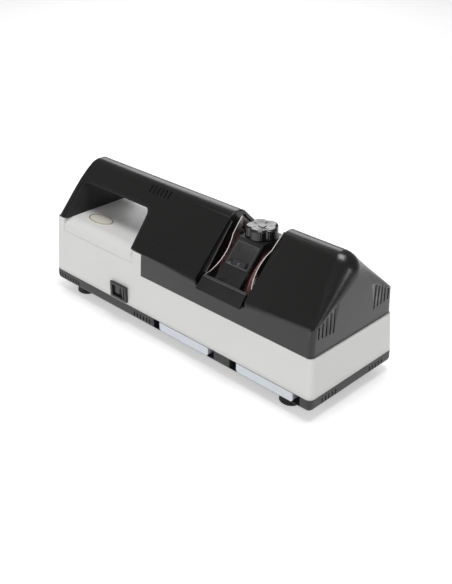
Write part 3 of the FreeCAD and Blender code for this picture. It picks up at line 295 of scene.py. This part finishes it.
def trimmed_cover():
    """The cover's mesh with both halves alike, no front slots and round upright corners at its motor end."""
    mesh = merged_copy("top_cover")
    mirror_front_half(mesh)
    close_front_slots(mesh)
    whole = finished_object("moulded_cover", mesh, cover_gloss, None)
    block = finished_object("corner_block", corner_block(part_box("top_cover")[1].x + trim_room), cover_gloss, None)
    whole.modifiers.clear()
    trim = whole.modifiers.new("upright_corners", "BOOLEAN")
    trim.operation = "INTERSECT"
    trim.solver = "EXACT"
    trim.object = block
    trimmed = bpy.data.meshes.new_from_object(whole.evaluated_get(bpy.context.evaluated_depsgraph_get()))
    bpy.data.objects.remove(block)
    bpy.data.objects.remove(whole)
    mesh = bmesh.new()
    mesh.from_mesh(trimmed)
    return mesh


cover = finished_object("moulded_cover", trimmed_cover(), cover_gloss, "housing")
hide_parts("top_cover")


# Hood ledges: a narrow shelf on each slope inside the mouth of the left hood, moulded with the cover a little
# under its slope. A fine pale strip along its edge is a painted highlight. The shelf is wider at its foot, which
# stops short of the wheel guard's apron.

ledge_left = 0.0331
ledge_edge = 0.0347
ledge_edge_foot = 0.0378
ledge_top = 0.009
ledge_foot = 0.0440
line_width = 0.0003


def slope_strip(mesh, side, x_low, x_high, y_low, y_high, drop, thick, x_low_foot=None, x_high_foot=None):
    """A strip sunk under one roof slope, from y_low to y_high across. Its foot may have X places of its own."""
    x_low_foot = x_low if x_low_foot is None else x_low_foot
    x_high_foot = x_high if x_high_foot is None else x_high_foot
    corners = []
    for under in (0.0, thick):
        for across, (left, right) in ((y_low, (x_low, x_high)), (y_high, (x_low_foot, x_high_foot))):
            height = ridge_corner - roof_rise * across - drop - under
            corners += [mesh.verts.new((place, side * across, height)) for place in (left, right)]
    for picks in ((0, 1, 3, 2), (4, 6, 7, 5), (0, 4, 5, 1), (2, 3, 7, 6), (0, 2, 6, 4), (1, 5, 7, 3)):
        mesh.faces.new([corners[pick] for pick in picks])


# Paler grey than the black mouldings it edges: a painted highlight along their fine edges.
painted_edge_highlight = finish_material("moulded_painted_edge_highlight", (0.11, 0.11, 0.112), (0.15, 0.15, 0.152), roughness=0.30,
                             roughness_spread=0.05, grain_size=1800.0, patch_size=60.0, bump=0.00003,
                             edge=0.0001)
ledge_mesh = bmesh.new()
line_mesh = bmesh.new()
for side in sides.values():
    slope_strip(ledge_mesh, side, ledge_left, ledge_edge, ledge_top, ledge_foot, drop=0.0036, thick=0.0012,
                x_high_foot=ledge_edge_foot)
    slope_strip(line_mesh, side, ledge_edge, ledge_edge + line_width, ledge_top, ledge_foot, drop=0.0035,
                thick=0.0014, x_low_foot=ledge_edge_foot, x_high_foot=ledge_edge_foot + line_width)
finished_object("left_hood_ledges", ledge_mesh, cover_gloss, "housing")
finished_object("left_hood_ledge_edges", line_mesh, painted_edge_highlight, "housing")


# Handle liner: the inner half of the handle, a plain matte black moulding that snaps into the cover.

liner_matte = finish_material("liner_matte_black", (0.010, 0.010, 0.010), (0.014, 0.014, 0.014), roughness=0.55,
                              roughness_spread=0.05, grain_size=1800.0, patch_size=15.0, bump=0.00008)
dress(liner_matte, "handle_liner")


# Wheel guard: the lift-off black moulding between the two knife slots, with a sunk window on each slope.
# Its tone wanders a little, as under a film of grinding dust.

guard_satin = finish_material("guard_satin_black", (0.012, 0.012, 0.012), (0.020, 0.019, 0.019), roughness=0.38,
                              roughness_spread=0.06, grain_size=1600.0, patch_size=40.0, bump=0.00007)
dress(guard_satin, "wheel_guard")


def lower_aprons(mesh):
    """Brings each apron down to a flap that carries on the guard's slope to its lower edge."""
    apron_front, apron_step = 0.0550, 0.080
    outer_face, outer_top = 0.04657, 0.0860
    inner_face, inner_top = 0.04457, 0.0850
    near = 0.0004
    for corner in mesh.verts:
        across = abs(corner.co.y)
        side = 1 if corner.co.y > 0 else -1
        if across > apron_front and abs(corner.co.z - apron_step) < near:
            flap = (0.0552, 0.0728)
        elif abs(across - outer_face) < near and corner.co.z > outer_top:
            flap = (0.0460, 0.0822)
        elif abs(across - inner_face) < near and corner.co.z > inner_top:
            flap = (0.0446, 0.0826)
        else:
            continue
        corner.co.y, corner.co.z = side * flap[0], flap[1]


apron_mesh = merged_copy("wheel_guard")
lower_aprons(apron_mesh)
guard = finished_object("moulded_guard", apron_mesh, guard_satin, "guard")
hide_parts("wheel_guard")


# Beads: fine moulded edges along the top of each flap and round each sunk window, in a paler grey that is a
# painted highlight.

bead_inset = 0.0004
flap_beads = ((0.0447, 0.0047), (0.0461, 0.0039))
window_left, window_right, window_top, window_foot = 0.0493, 0.0737, 0.0164, 0.0319
window_bead_drop, window_bead_thick = 0.0068, 0.0006
bead_mesh = bmesh.new()
guard_left, guard_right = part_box("wheel_guard")[0].x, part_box("wheel_guard")[1].x
for side in sides.values():
    for across, drop in flap_beads:
        slope_strip(bead_mesh, side, guard_left + bead_inset, guard_right - bead_inset, across, across + line_width,
                    drop, thick=0.0008)
    for across in (window_top, window_foot - line_width):
        slope_strip(bead_mesh, side, window_left, window_right, across, across + line_width, window_bead_drop,
                    window_bead_thick)
    for place in (window_left, window_right - bead_inset):
        slope_strip(bead_mesh, side, place, place + bead_inset, window_top, window_foot, window_bead_drop,
                    window_bead_thick)
finished_object("guard_edge_beads", bead_mesh, painted_edge_highlight, "guard")


# Window funnels: the sunk window in each slope narrows toward its floor. Its floor and walls are smoother than
# the slope around it, and their paler grey is a painted reflection of the light inside the window.

# Paler grey than the guard: a painted reflection inside each sunk window.
funnel_painted_reflection = finish_material("window_funnel_painted_reflection", (0.026, 0.026, 0.026), (0.050, 0.050, 0.049),
                               roughness=0.24, roughness_spread=0.05, grain_size=1400.0, patch_size=50.0,
                               bump=0.00004, coat=0.3)
# Each section is its depth under the slope, then its left, right, near and far sides.
funnel_sections = {
    "mouth": (0.0069, 0.0497, 0.0733, 0.0168, 0.0315),
    "floor": (0.0115, 0.0527, 0.0715, 0.0186, 0.0270),
    "floor_back": (0.0119, 0.0525, 0.0717, 0.0184, 0.0272),
    "mouth_back": (0.0077, 0.0496, 0.0734, 0.0167, 0.0316),
}
for word, side in sides.items():
    funnel_mesh = bmesh.new()
    rims = {}
    for section, (drop, left, right, near, far) in funnel_sections.items():
        rims[section] = [funnel_mesh.verts.new((x, side * y, ridge_corner - roof_rise * y - drop))
                         for x, y in ((left, near), (right, near), (right, far), (left, far))]
    for lower, upper in (("mouth", "floor"), ("floor_back", "mouth_back"), ("mouth_back", "mouth")):
        join_rings(funnel_mesh, rims[lower], rims[upper])
    funnel_mesh.faces.new(rims["floor"])
    funnel_mesh.faces.new(list(reversed(rims["floor_back"])))
    finished_object(word + "_window_funnel", funnel_mesh, funnel_painted_reflection, "guard")


# Window plates: a small grey plate at the foot of each sunk window, held by one dark cross-head screw.

floor_rise = 1.01
floor_drop = 0.0088
plate_across = 0.0290
plate_size = (0.0150, 0.0058, 0.0012)
plate_bevel = 0.0003
screw_radius = 0.0014
along_x = Vector((1, 0, 0))


def slope_frame(side):
    """The window floor's middle in X, its outward direction and its direction down the slope."""
    low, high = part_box("wheel_guard")
    middle = (low.x + high.x) / 2
    down = Vector((0, side, -floor_rise)).normalized()
    outward = Vector((0, side * floor_rise, 1)).normalized()
    return middle, outward, down


def box_on(mesh, centre, across, along, normal, sizes, bevel):
    """Adds a bevelled plate to a mesh, laid along the given directions."""
    made = bmesh.ops.create_cube(mesh, size=1.0)
    corners = made["verts"]
    for corner in corners:
        place = corner.co.copy()
        corner.co = centre + across * place.x * sizes[0] + along * place.y * sizes[1] + normal * place.z * sizes[2]
    edges = list({edge for corner in corners for edge in corner.link_edges})
    bmesh.ops.bevel(mesh, geom=edges, offset=bevel, segments=2, affect="EDGES")


def cross_screw(mesh, centre, normal, across, radius):
    """A domed screw head with a cross cut into it, built as rings round its axis."""
    along = normal.cross(across).normalized()
    steps = 32
    turns = [2 * math.pi * index / steps for index in range(steps)]
    dome = ((1.0, 0.0), (0.98, 0.12), (0.88, 0.26), (0.7, 0.36), (0.52, 0.41))
    cross_height, cross_depth = 0.415, 0.28
    arm_reach, notch_reach, half_arm = 0.46, 0.16, math.radians(17)

    def point_at(turn, share, rise):
        outward = across * math.cos(turn) + along * math.sin(turn)
        return mesh.verts.new(centre + outward * radius * share + normal * radius * rise)

    def cross_reach(turn):
        from_arm = abs((turn + math.pi / 4) % (math.pi / 2) - math.pi / 4)
        return arm_reach if from_arm < half_arm else notch_reach

    rings = [[point_at(turn, share, rise) for turn in turns] for share, rise in dome]
    rings.append([point_at(turn, cross_reach(turn), cross_height) for turn in turns])
    rings.append([mesh.verts.new(point.co - normal * radius * cross_depth) for point in rings[-1]])
    for lower, upper in zip(rings, rings[1:]):
        join_rings(mesh, lower, upper)
    mesh.faces.new(list(reversed(rings[0])))
    mesh.faces.new(rings[-1])


bright_steel = finish_material("bright_steel", (0.62, 0.62, 0.61), (0.70, 0.70, 0.69), roughness=0.24,
                               roughness_spread=0.06, grain_size=3000.0, patch_size=120.0, bump=0.00002,
                               metallic=1.0)
plate_grey = finish_material("window_plate_grey", (0.032, 0.032, 0.033), (0.045, 0.045, 0.046), roughness=0.34,
                             roughness_spread=0.05, grain_size=2400.0, patch_size=60.0, bump=0.00006)
screw_steel = finish_material("blackened_screw", (0.16, 0.16, 0.16), (0.22, 0.22, 0.22), roughness=0.36,
                              roughness_spread=0.06, grain_size=3000.0, patch_size=120.0, bump=0.00002,
                              metallic=0.9)
for word, side in sides.items():
    middle, outward, down = slope_frame(side)
    centre = Vector((middle, side * plate_across, ridge_corner - floor_rise * plate_across - floor_drop))
    plate_mesh = bmesh.new()
    box_on(plate_mesh, centre, along_x, down, outward, plate_size, plate_bevel)
    finished_object(word + "_window_plate", plate_mesh, plate_grey, "guard")
    screw_mesh = bmesh.new()
    cross_screw(screw_mesh, centre + outward * (plate_size[2] / 2), outward, along_x, screw_radius)
    finished_object(word + "_window_screw", screw_mesh, screw_steel, "guard")


# Star knob: a glossy black moulded knob with five broad ribbed lobes, turned down by hand onto the stud.

knob_gloss = finish_material("knob_gloss_black", (0.010, 0.010, 0.010), (0.014, 0.014, 0.014), roughness=0.20,
                             roughness_spread=0.04, grain_size=700.0, patch_size=30.0, bump=0.00004, coat=0.4)
dress(knob_gloss, "star_knob")

knob_steps = 240
knob_lobes = 5
knob_ribs = 60
rib_depth = 0.00022
waist_radius = 0.0112
lobe_height = 0.0036
cap_radius = 0.0125
# Share of the full radius, height over the foot and whether the grip ribs show, from the foot to the cap.
knob_profile = ((0.94, 0.0, False), (1.0, 0.0008, False), (1.0, 0.0014, True), (0.985, 0.0072, True),
                (0.98, 0.0078, False), (0.95, 0.0086, False), (0.88, 0.0093, False), (0.76, 0.0095, False),
                (0.62, 0.0092, False), (0.40, 0.0088, False), (0.30, 0.0088, False), (0.27, 0.0093, False))


def knob_reach(turn, ribbed):
    """Distance of the knob's side from its axis: broad lobes with fine grip ribs on them."""
    lobe = abs(math.cos(knob_lobes / 2 * turn)) ** 0.55
    on_rib = ribbed and math.cos(knob_ribs * turn) > 0 and lobe > 0.45
    return waist_radius + lobe_height * lobe - (rib_depth if on_rib else 0.0)


knob_low, knob_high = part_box("star_knob")
knob_middle = (knob_low.x + knob_high.x) / 2
knob_mesh = bmesh.new()
knob_rings = []
for share, height, ribbed in knob_profile:
    ring = []
    for index in range(knob_steps):
        turn = 2 * math.pi * index / knob_steps
        reach = share * (knob_reach(turn, ribbed) if share > 0.5 else cap_radius)
        ring.append(knob_mesh.verts.new((knob_middle + reach * math.cos(turn), reach * math.sin(turn),
                                         knob_low.z + height)))
    knob_rings.append(ring)
for lower, upper in zip(knob_rings, knob_rings[1:]):
    join_rings(knob_mesh, lower, upper)
knob_mesh.faces.new(knob_rings[-1])
knob_mesh.faces.new(list(reversed(knob_rings[0])))
knob = finished_object("lobed_knob", knob_mesh, knob_gloss, "knob")
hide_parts("star_knob")


# Stud, spindle and fasteners: bright turned steel.

dress(bright_steel, "knob_stud", "spindle", "spindle_nut", "wheel_spacer", "motor_tie_bolts", "foot_screws")


# Blade guides: two strips of polished spring steel, bowed toward the wheels on both slopes.

guide_steel = finish_material("guide_polished_steel", (0.80, 0.76, 0.72), (0.88, 0.84, 0.80), roughness=0.32,
                              roughness_spread=0.06, grain_size=2600.0, patch_size=160.0, bump=0.00002,
                              metallic=0.35, edge=0.0002)


def paint_top_edge_highlight(material):
    """The sides of a strip are dark polished steel; its upward-facing edge is painted pale and nearly non-metallic,
    a painted highlight.
    """
    tree = material.node_tree
    shader = tree.nodes["Principled BSDF"]
    facing = tree.nodes.new("ShaderNodeNewGeometry")
    split = tree.nodes.new("ShaderNodeSeparateXYZ")
    upper = map_range(tree, from_low=0.35, from_high=0.60)
    metal = map_range(tree, 1.0, 0.1)
    shade = colour_mix(tree, first=(0.36, 0.33, 0.32))
    before = shader.inputs["Base Color"].links[0].from_socket
    link = tree.links.new
    link(facing.outputs["Normal"], split.inputs["Vector"])
    link(split.outputs["Z"], upper.inputs["Value"])
    link(upper.outputs["Result"], shade.inputs["Factor"])
    link(upper.outputs["Result"], metal.inputs["Value"])
    link(before, shade.inputs["B"])
    link(shade.outputs["Result"], shader.inputs["Base Color"])
    link(metal.outputs["Result"], shader.inputs["Metallic"])


# Painted highlight: faces of the strips that point upward are made pale.
paint_top_edge_highlight(guide_steel)
dress(guide_steel, "left_blade_guide", "right_blade_guide")


# Grinding wheels: pink fused alumina, pressed and fired, with a gritty open face that holds grey dust.

def abrasive_material():
    """Bonded grit with grey dust in patches."""
    material, tree, shader = new_material("pink_abrasive")
    shader.inputs["Specular IOR Level"].default_value = 0.25
    place = tree.nodes.new("ShaderNodeTexCoord")
    grit = tree.nodes.new("ShaderNodeTexVoronoi")
    grit.inputs["Scale"].default_value = 1900.0
    dust = tree.nodes.new("ShaderNodeTexNoise")
    dust.inputs["Scale"].default_value = 130.0
    dust.inputs["Detail"].default_value = 6.0
    colour = tree.nodes.new("ShaderNodeValToRGB")
    colour.color_ramp.elements[0].color = (0.55, 0.22, 0.24, 1.0)
    colour.color_ramp.elements[1].color = (0.80, 0.40, 0.41, 1.0)
    grey = colour_mix(tree, second=(0.36, 0.27, 0.27))
    share = map_range(tree, 0.0, 0.6, from_low=0.5, from_high=0.75)
    rough = map_range(tree, 0.72, 0.95)
    relief = tree.nodes.new("ShaderNodeBump")
    relief.inputs["Distance"].default_value = 0.0003
    link = tree.links.new
    link(place.outputs["Object"], grit.inputs["Vector"])
    link(place.outputs["Object"], dust.inputs["Vector"])
    link(grit.outputs["Distance"], colour.inputs["Fac"])
    link(dust.outputs["Fac"], share.inputs["Value"])
    link(colour.outputs["Color"], grey.inputs["A"])
    link(share.outputs["Result"], grey.inputs["Factor"])
    link(dust.outputs["Fac"], rough.inputs["Value"])
    link(grit.outputs["Distance"], relief.inputs["Height"])
    link(grey.outputs["Result"], shader.inputs["Base Color"])
    link(rough.outputs["Result"], shader.inputs["Roughness"])
    link(relief.outputs["Normal"], shader.inputs["Normal"])
    return material


dress(abrasive_material(), "left_grinding_wheel", "right_grinding_wheel")


# Wheel hubs and turned parts: aluminium with the fine circular marks that a lathe leaves.

groove_shade = 0.82


def turned_material(name, colour, ring_size, metallic, roughness):
    """Rings round the spindle line, from the distance of each point to that line."""
    material, tree, shader = new_material(name)
    shader.inputs["Metallic"].default_value = metallic
    place = tree.nodes.new("ShaderNodeTexCoord")
    centre = tree.nodes.new("ShaderNodeMapping")
    centre.inputs["Location"].default_value = (0.0, 0.0, -spindle_height)
    rings = tree.nodes.new("ShaderNodeTexWave")
    rings.wave_type = "RINGS"
    rings.rings_direction = "X"
    rings.inputs["Scale"].default_value = ring_size
    rings.inputs["Distortion"].default_value = 0.6
    tone = colour_mix(tree, [part * groove_shade for part in colour], colour)
    rough = map_range(tree, roughness - 0.05, roughness + 0.08)
    relief = tree.nodes.new("ShaderNodeBump")
    relief.inputs["Strength"].default_value = 0.4
    relief.inputs["Distance"].default_value = 0.00008
    link = tree.links.new
    link(place.outputs["Object"], centre.inputs["Vector"])
    link(centre.outputs["Vector"], rings.inputs["Vector"])
    link(rings.outputs["Fac"], tone.inputs["Factor"])
    link(rings.outputs["Fac"], rough.inputs["Value"])
    link(rings.outputs["Fac"], relief.inputs["Height"])
    link(tone.outputs["Result"], shader.inputs["Base Color"])
    link(rough.outputs["Result"], shader.inputs["Roughness"])
    link(relief.outputs["Normal"], shader.inputs["Normal"])
    return material


turned_aluminium = turned_material("turned_aluminium", (0.72, 0.72, 0.73), ring_size=1100.0, metallic=1.0,
                                   roughness=0.30)
dress(turned_aluminium, "left_wheel_hub", "right_wheel_hub")
bearing_steel = turned_material("bearing_steel", (0.60, 0.60, 0.61), ring_size=420.0, metallic=1.0,
                                roughness=0.22)
dress(bearing_steel, "front_motor_bearing", "rear_motor_bearing", "pedestal_bearing")


# Motor: laminated cores stacked from thin steel sheets, copper windings, die-cast end shields and a fan.

def layered_material(name, dark, light, direction, size, metallic, roughness, depth):
    """Stripes across one axis, such as stacked sheets or wound wire."""
    material, tree, shader = new_material(name)
    shader.inputs["Metallic"].default_value = metallic
    place = tree.nodes.new("ShaderNodeTexCoord")
    bands = tree.nodes.new("ShaderNodeTexWave")
    bands.bands_direction = direction
    bands.inputs["Scale"].default_value = size
    bands.inputs["Distortion"].default_value = 0.4
    tone = colour_mix(tree, dark, light)
    rough = map_range(tree, roughness, roughness + 0.12)
    relief = tree.nodes.new("ShaderNodeBump")
    relief.inputs["Distance"].default_value = depth
    link = tree.links.new
    link(place.outputs["Object"], bands.inputs["Vector"])
    link(bands.outputs["Fac"], tone.inputs["Factor"])
    link(bands.outputs["Fac"], rough.inputs["Value"])
    link(bands.outputs["Fac"], relief.inputs["Height"])
    link(tone.outputs["Result"], shader.inputs["Base Color"])
    link(rough.outputs["Result"], shader.inputs["Roughness"])
    link(relief.outputs["Normal"], shader.inputs["Normal"])
    return material


stacked_sheets = layered_material("stacked_sheets", (0.10, 0.10, 0.11), (0.30, 0.30, 0.31), direction="X",
                                  size=300.0, metallic=0.9, roughness=0.38, depth=0.0002)
dress(stacked_sheets, "stator_core", "rotor_core")
wound_copper = layered_material("wound_copper", (0.30, 0.11, 0.04), (0.72, 0.34, 0.16), direction="Z",
                                size=240.0, metallic=0.85, roughness=0.30, depth=0.0004)
dress(wound_copper, "stator_windings")
cast_alloy = finish_material("cast_alloy", (0.50, 0.51, 0.52), (0.60, 0.60, 0.61), roughness=0.42,
                             roughness_spread=0.06, grain_size=1300.0, patch_size=45.0, bump=0.0001,
                             metallic=0.9)
dress(cast_alloy, "front_motor_shield", "rear_motor_shield", "bearing_pedestal", "motor_cradle")
dress(liner_matte, "cooling_fan")


# Chassis plate and sheet parts: zinc-plated steel sheet, punched and folded, with a mottled pale finish.

zinc_sheet = finish_material("zinc_plated_sheet", (0.50, 0.51, 0.52), (0.66, 0.67, 0.68), roughness=0.36,
                             roughness_spread=0.08, grain_size=500.0, patch_size=90.0, bump=0.00003,
                             metallic=0.95)
dress(zinc_sheet, "chassis_plate", "centre_plate", "capacitor_clip", "dust_chute")
capacitor_grey = finish_material("capacitor_case_grey", (0.42, 0.43, 0.44), (0.47, 0.48, 0.49), roughness=0.42,
                                 roughness_spread=0.05, grain_size=1500.0, patch_size=30.0, bump=0.00006)
dress(capacitor_grey, "run_capacitor")


# Dust drawers: two shallow white moulded trays that slide out at the front.

drawer_white = finish_material("drawer_cool_white", (0.74, 0.79, 0.86), (0.79, 0.83, 0.89), roughness=0.34,
                               roughness_spread=0.05, grain_size=2000.0, patch_size=20.0, bump=0.00005)
dress(drawer_white, "left_dust_drawer", "right_dust_drawer")


# Feet: four turned rubber feet, each held by a screw sunk into its middle.

foot_rubber = finish_material("foot_rubber", (0.012, 0.012, 0.012), (0.022, 0.022, 0.021), roughness=0.72,
                              roughness_spread=0.08, grain_size=900.0, patch_size=70.0, bump=0.0002,
                              specular=0.3)
dress(foot_rubber, "front_left_foot", "front_right_foot", "rear_left_foot", "rear_right_foot")


# Rocker switch: a black snap-in body with a glossy rocker that tips about an upright pin. Both are moulded.

switch_satin = finish_material("switch_satin_black", (0.014, 0.014, 0.014), (0.018, 0.018, 0.018),
                               roughness=0.40, roughness_spread=0.04, grain_size=2600.0, patch_size=60.0,
                               bump=0.00004)
dress(switch_satin, "switch_body")
rocker_gloss = finish_material("rocker_gloss_black", (0.020, 0.020, 0.021), (0.024, 0.024, 0.025),
                               roughness=0.18, roughness_spread=0.03, grain_size=900.0, patch_size=60.0,
                               bump=0.00002)
dress(rocker_gloss, "switch_rocker")


# Power inlet: a black moulded socket in the back wall with three plated blades.

dress(switch_satin, "power_inlet")
plated_brass = finish_material("plated_pins", (0.72, 0.66, 0.50), (0.78, 0.73, 0.58), roughness=0.22,
                               roughness_spread=0.05, grain_size=2000.0, patch_size=100.0, bump=0.00002,
                               metallic=1.0)
dress(plated_brass, "inlet_pins")


# Oval plate: a thin cream plate with a fine dark line inside its edge. It is left bare.

line_colour = (0.045, 0.03, 0.025)


def oval_material():
    """Cream with a dark line at a set share of the way from the middle to the edge."""
    material = finish_material("oval_cream", (0.78, 0.75, 0.66), (0.82, 0.79, 0.70), roughness=0.35,
                               roughness_spread=0.04, grain_size=1800.0, patch_size=60.0, bump=0.00003)
    tree = material.node_tree
    low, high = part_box("oval_plate")
    half_long = (high.x - low.x) / 2
    half_short = (high.y - low.y) / 2
    place = tree.nodes.new("ShaderNodeTexCoord")
    centre = tree.nodes.new("ShaderNodeMapping")
    centre.vector_type = "TEXTURE"
    centre.inputs["Location"].default_value = ((low.x + high.x) / 2, (low.y + high.y) / 2, high.z)
    centre.inputs["Scale"].default_value = (half_long, half_short, 1.0)
    reach = tree.nodes.new("ShaderNodeVectorMath")
    reach.operation = "LENGTH"
    ring = tree.nodes.new("ShaderNodeValToRGB")
    ring.color_ramp.elements[0].position = 0.86
    ring.color_ramp.elements[0].color = (0, 0, 0, 1)
    ring.color_ramp.elements[1].position = 0.94
    ring.color_ramp.elements[1].color = (0, 0, 0, 1)
    for position in (0.875, 0.925):
        ring.color_ramp.elements.new(position).color = (1, 1, 1, 1)
    line = colour_mix(tree, second=line_colour)
    shader = tree.nodes["Principled BSDF"]
    before = shader.inputs["Base Color"].links[0].from_socket
    link = tree.links.new
    link(place.outputs["Object"], centre.inputs["Vector"])
    link(centre.outputs["Vector"], reach.inputs[0])
    link(reach.outputs["Value"], ring.inputs["Fac"])
    link(ring.outputs["Color"], line.inputs["Factor"])
    link(before, line.inputs["A"])
    link(line.outputs["Result"], shader.inputs["Base Color"])
    return material


dress(oval_material(), "oval_plate")


# Floor: a plain white sweep under soft studio light.

floor_half = 6.0
floor_glow = 0.42


def floor_material():
    """White that glows a little, only for the camera and for reflections."""
    material, tree, shader = new_material("studio_floor")
    shader.inputs["Base Color"].default_value = (0.92, 0.92, 0.92, 1.0)
    shader.inputs["Roughness"].default_value = 0.55
    shader.inputs["Emission Color"].default_value = (1.0, 1.0, 1.0, 1.0)
    path = tree.nodes.new("ShaderNodeLightPath")
    seen = tree.nodes.new("ShaderNodeMath")
    seen.operation = "MAXIMUM"
    glow = tree.nodes.new("ShaderNodeMath")
    glow.operation = "MULTIPLY"
    glow.inputs[1].default_value = floor_glow
    tree.links.new(path.outputs["Is Camera Ray"], seen.inputs[0])
    tree.links.new(path.outputs["Is Glossy Ray"], seen.inputs[1])
    tree.links.new(seen.outputs["Value"], glow.inputs[0])
    tree.links.new(glow.outputs["Value"], shader.inputs["Emission Strength"])
    return material


floor_mesh = bmesh.new()
bmesh.ops.create_grid(floor_mesh, x_segments=2, y_segments=2, size=floor_half)
floor_data = bpy.data.meshes.new("studio_floor")
floor_mesh.to_mesh(floor_data)
floor_mesh.free()
floor = bpy.data.objects.new("studio_floor", floor_data)
bpy.context.scene.collection.objects.link(floor)
floor.data.materials.append(floor_material())


# Light and camera: a soft box overhead, one behind, one low in front and a weak one at the right, in a
# pale room. The camera stands where the photographer stood.

def soft_box(name, place, aim, size, power):
    """A flat rectangular lamp at a place, turned toward its aim."""
    data = bpy.data.lights.new(name, "AREA")
    data.shape = "RECTANGLE"
    data.size, data.size_y = size
    data.energy = power
    lamp = bpy.data.objects.new(name, data)
    lamp.location = place
    lamp.rotation_euler = (Vector(aim) - Vector(place)).to_track_quat("-Z", "Y").to_euler()
    bpy.context.scene.collection.objects.link(lamp)


soft_box("overhead_box", (0.12, 0.05, 1.25), (0.02, 0, 0.08), (0.55, 0.55), 7.5)
soft_box("back_box", (-1.15, 1.15, 0.95), (0, 0, 0.08), (1.0, 0.8), 7.0)
soft_box("front_box", (-0.10, -1.60, 0.50), (0, 0, 0.05), (1.3, 0.7), 8.5)
soft_box("right_box", (1.50, -0.15, 0.45), (0.1, 0, 0.06), (0.6, 0.6), 3.5)

# The room lights the part weakly, and the camera sees it as plain white.
room_strength = 0.22
backdrop_strength = 1.0
room = bpy.data.worlds.new("room")
bpy.context.scene.world = room
room.use_nodes = True
room_light = room.node_tree.nodes["Background"]
room_light.inputs["Color"].default_value = (1.0, 1.0, 1.0, 1.0)
seen = room.node_tree.nodes.new("ShaderNodeLightPath")
level = map_range(room.node_tree, room_strength, backdrop_strength)
room.node_tree.links.new(seen.outputs["Is Camera Ray"], level.inputs["Value"])
room.node_tree.links.new(level.outputs["Result"], room_light.inputs["Strength"])

camera_data = bpy.data.cameras.new("photo_camera")
camera_data.sensor_width = 36.0
camera_data.lens = 55.63
camera_data.shift_x = 0.0261
camera_data.shift_y = -0.0619
camera_data.clip_start = 0.01
camera = bpy.data.objects.new("photo_camera", camera_data)
camera.location = (0.5195, -0.5222, 0.4378)
look_at = Vector((0.0, 0.0, 0.071))
camera.rotation_euler = (look_at - camera.location).to_track_quat("-Z", "Y").to_euler()
bpy.context.scene.collection.objects.link(camera)
bpy.context.scene.camera = camera

bpy.context.scene.view_settings.view_transform = "Standard"
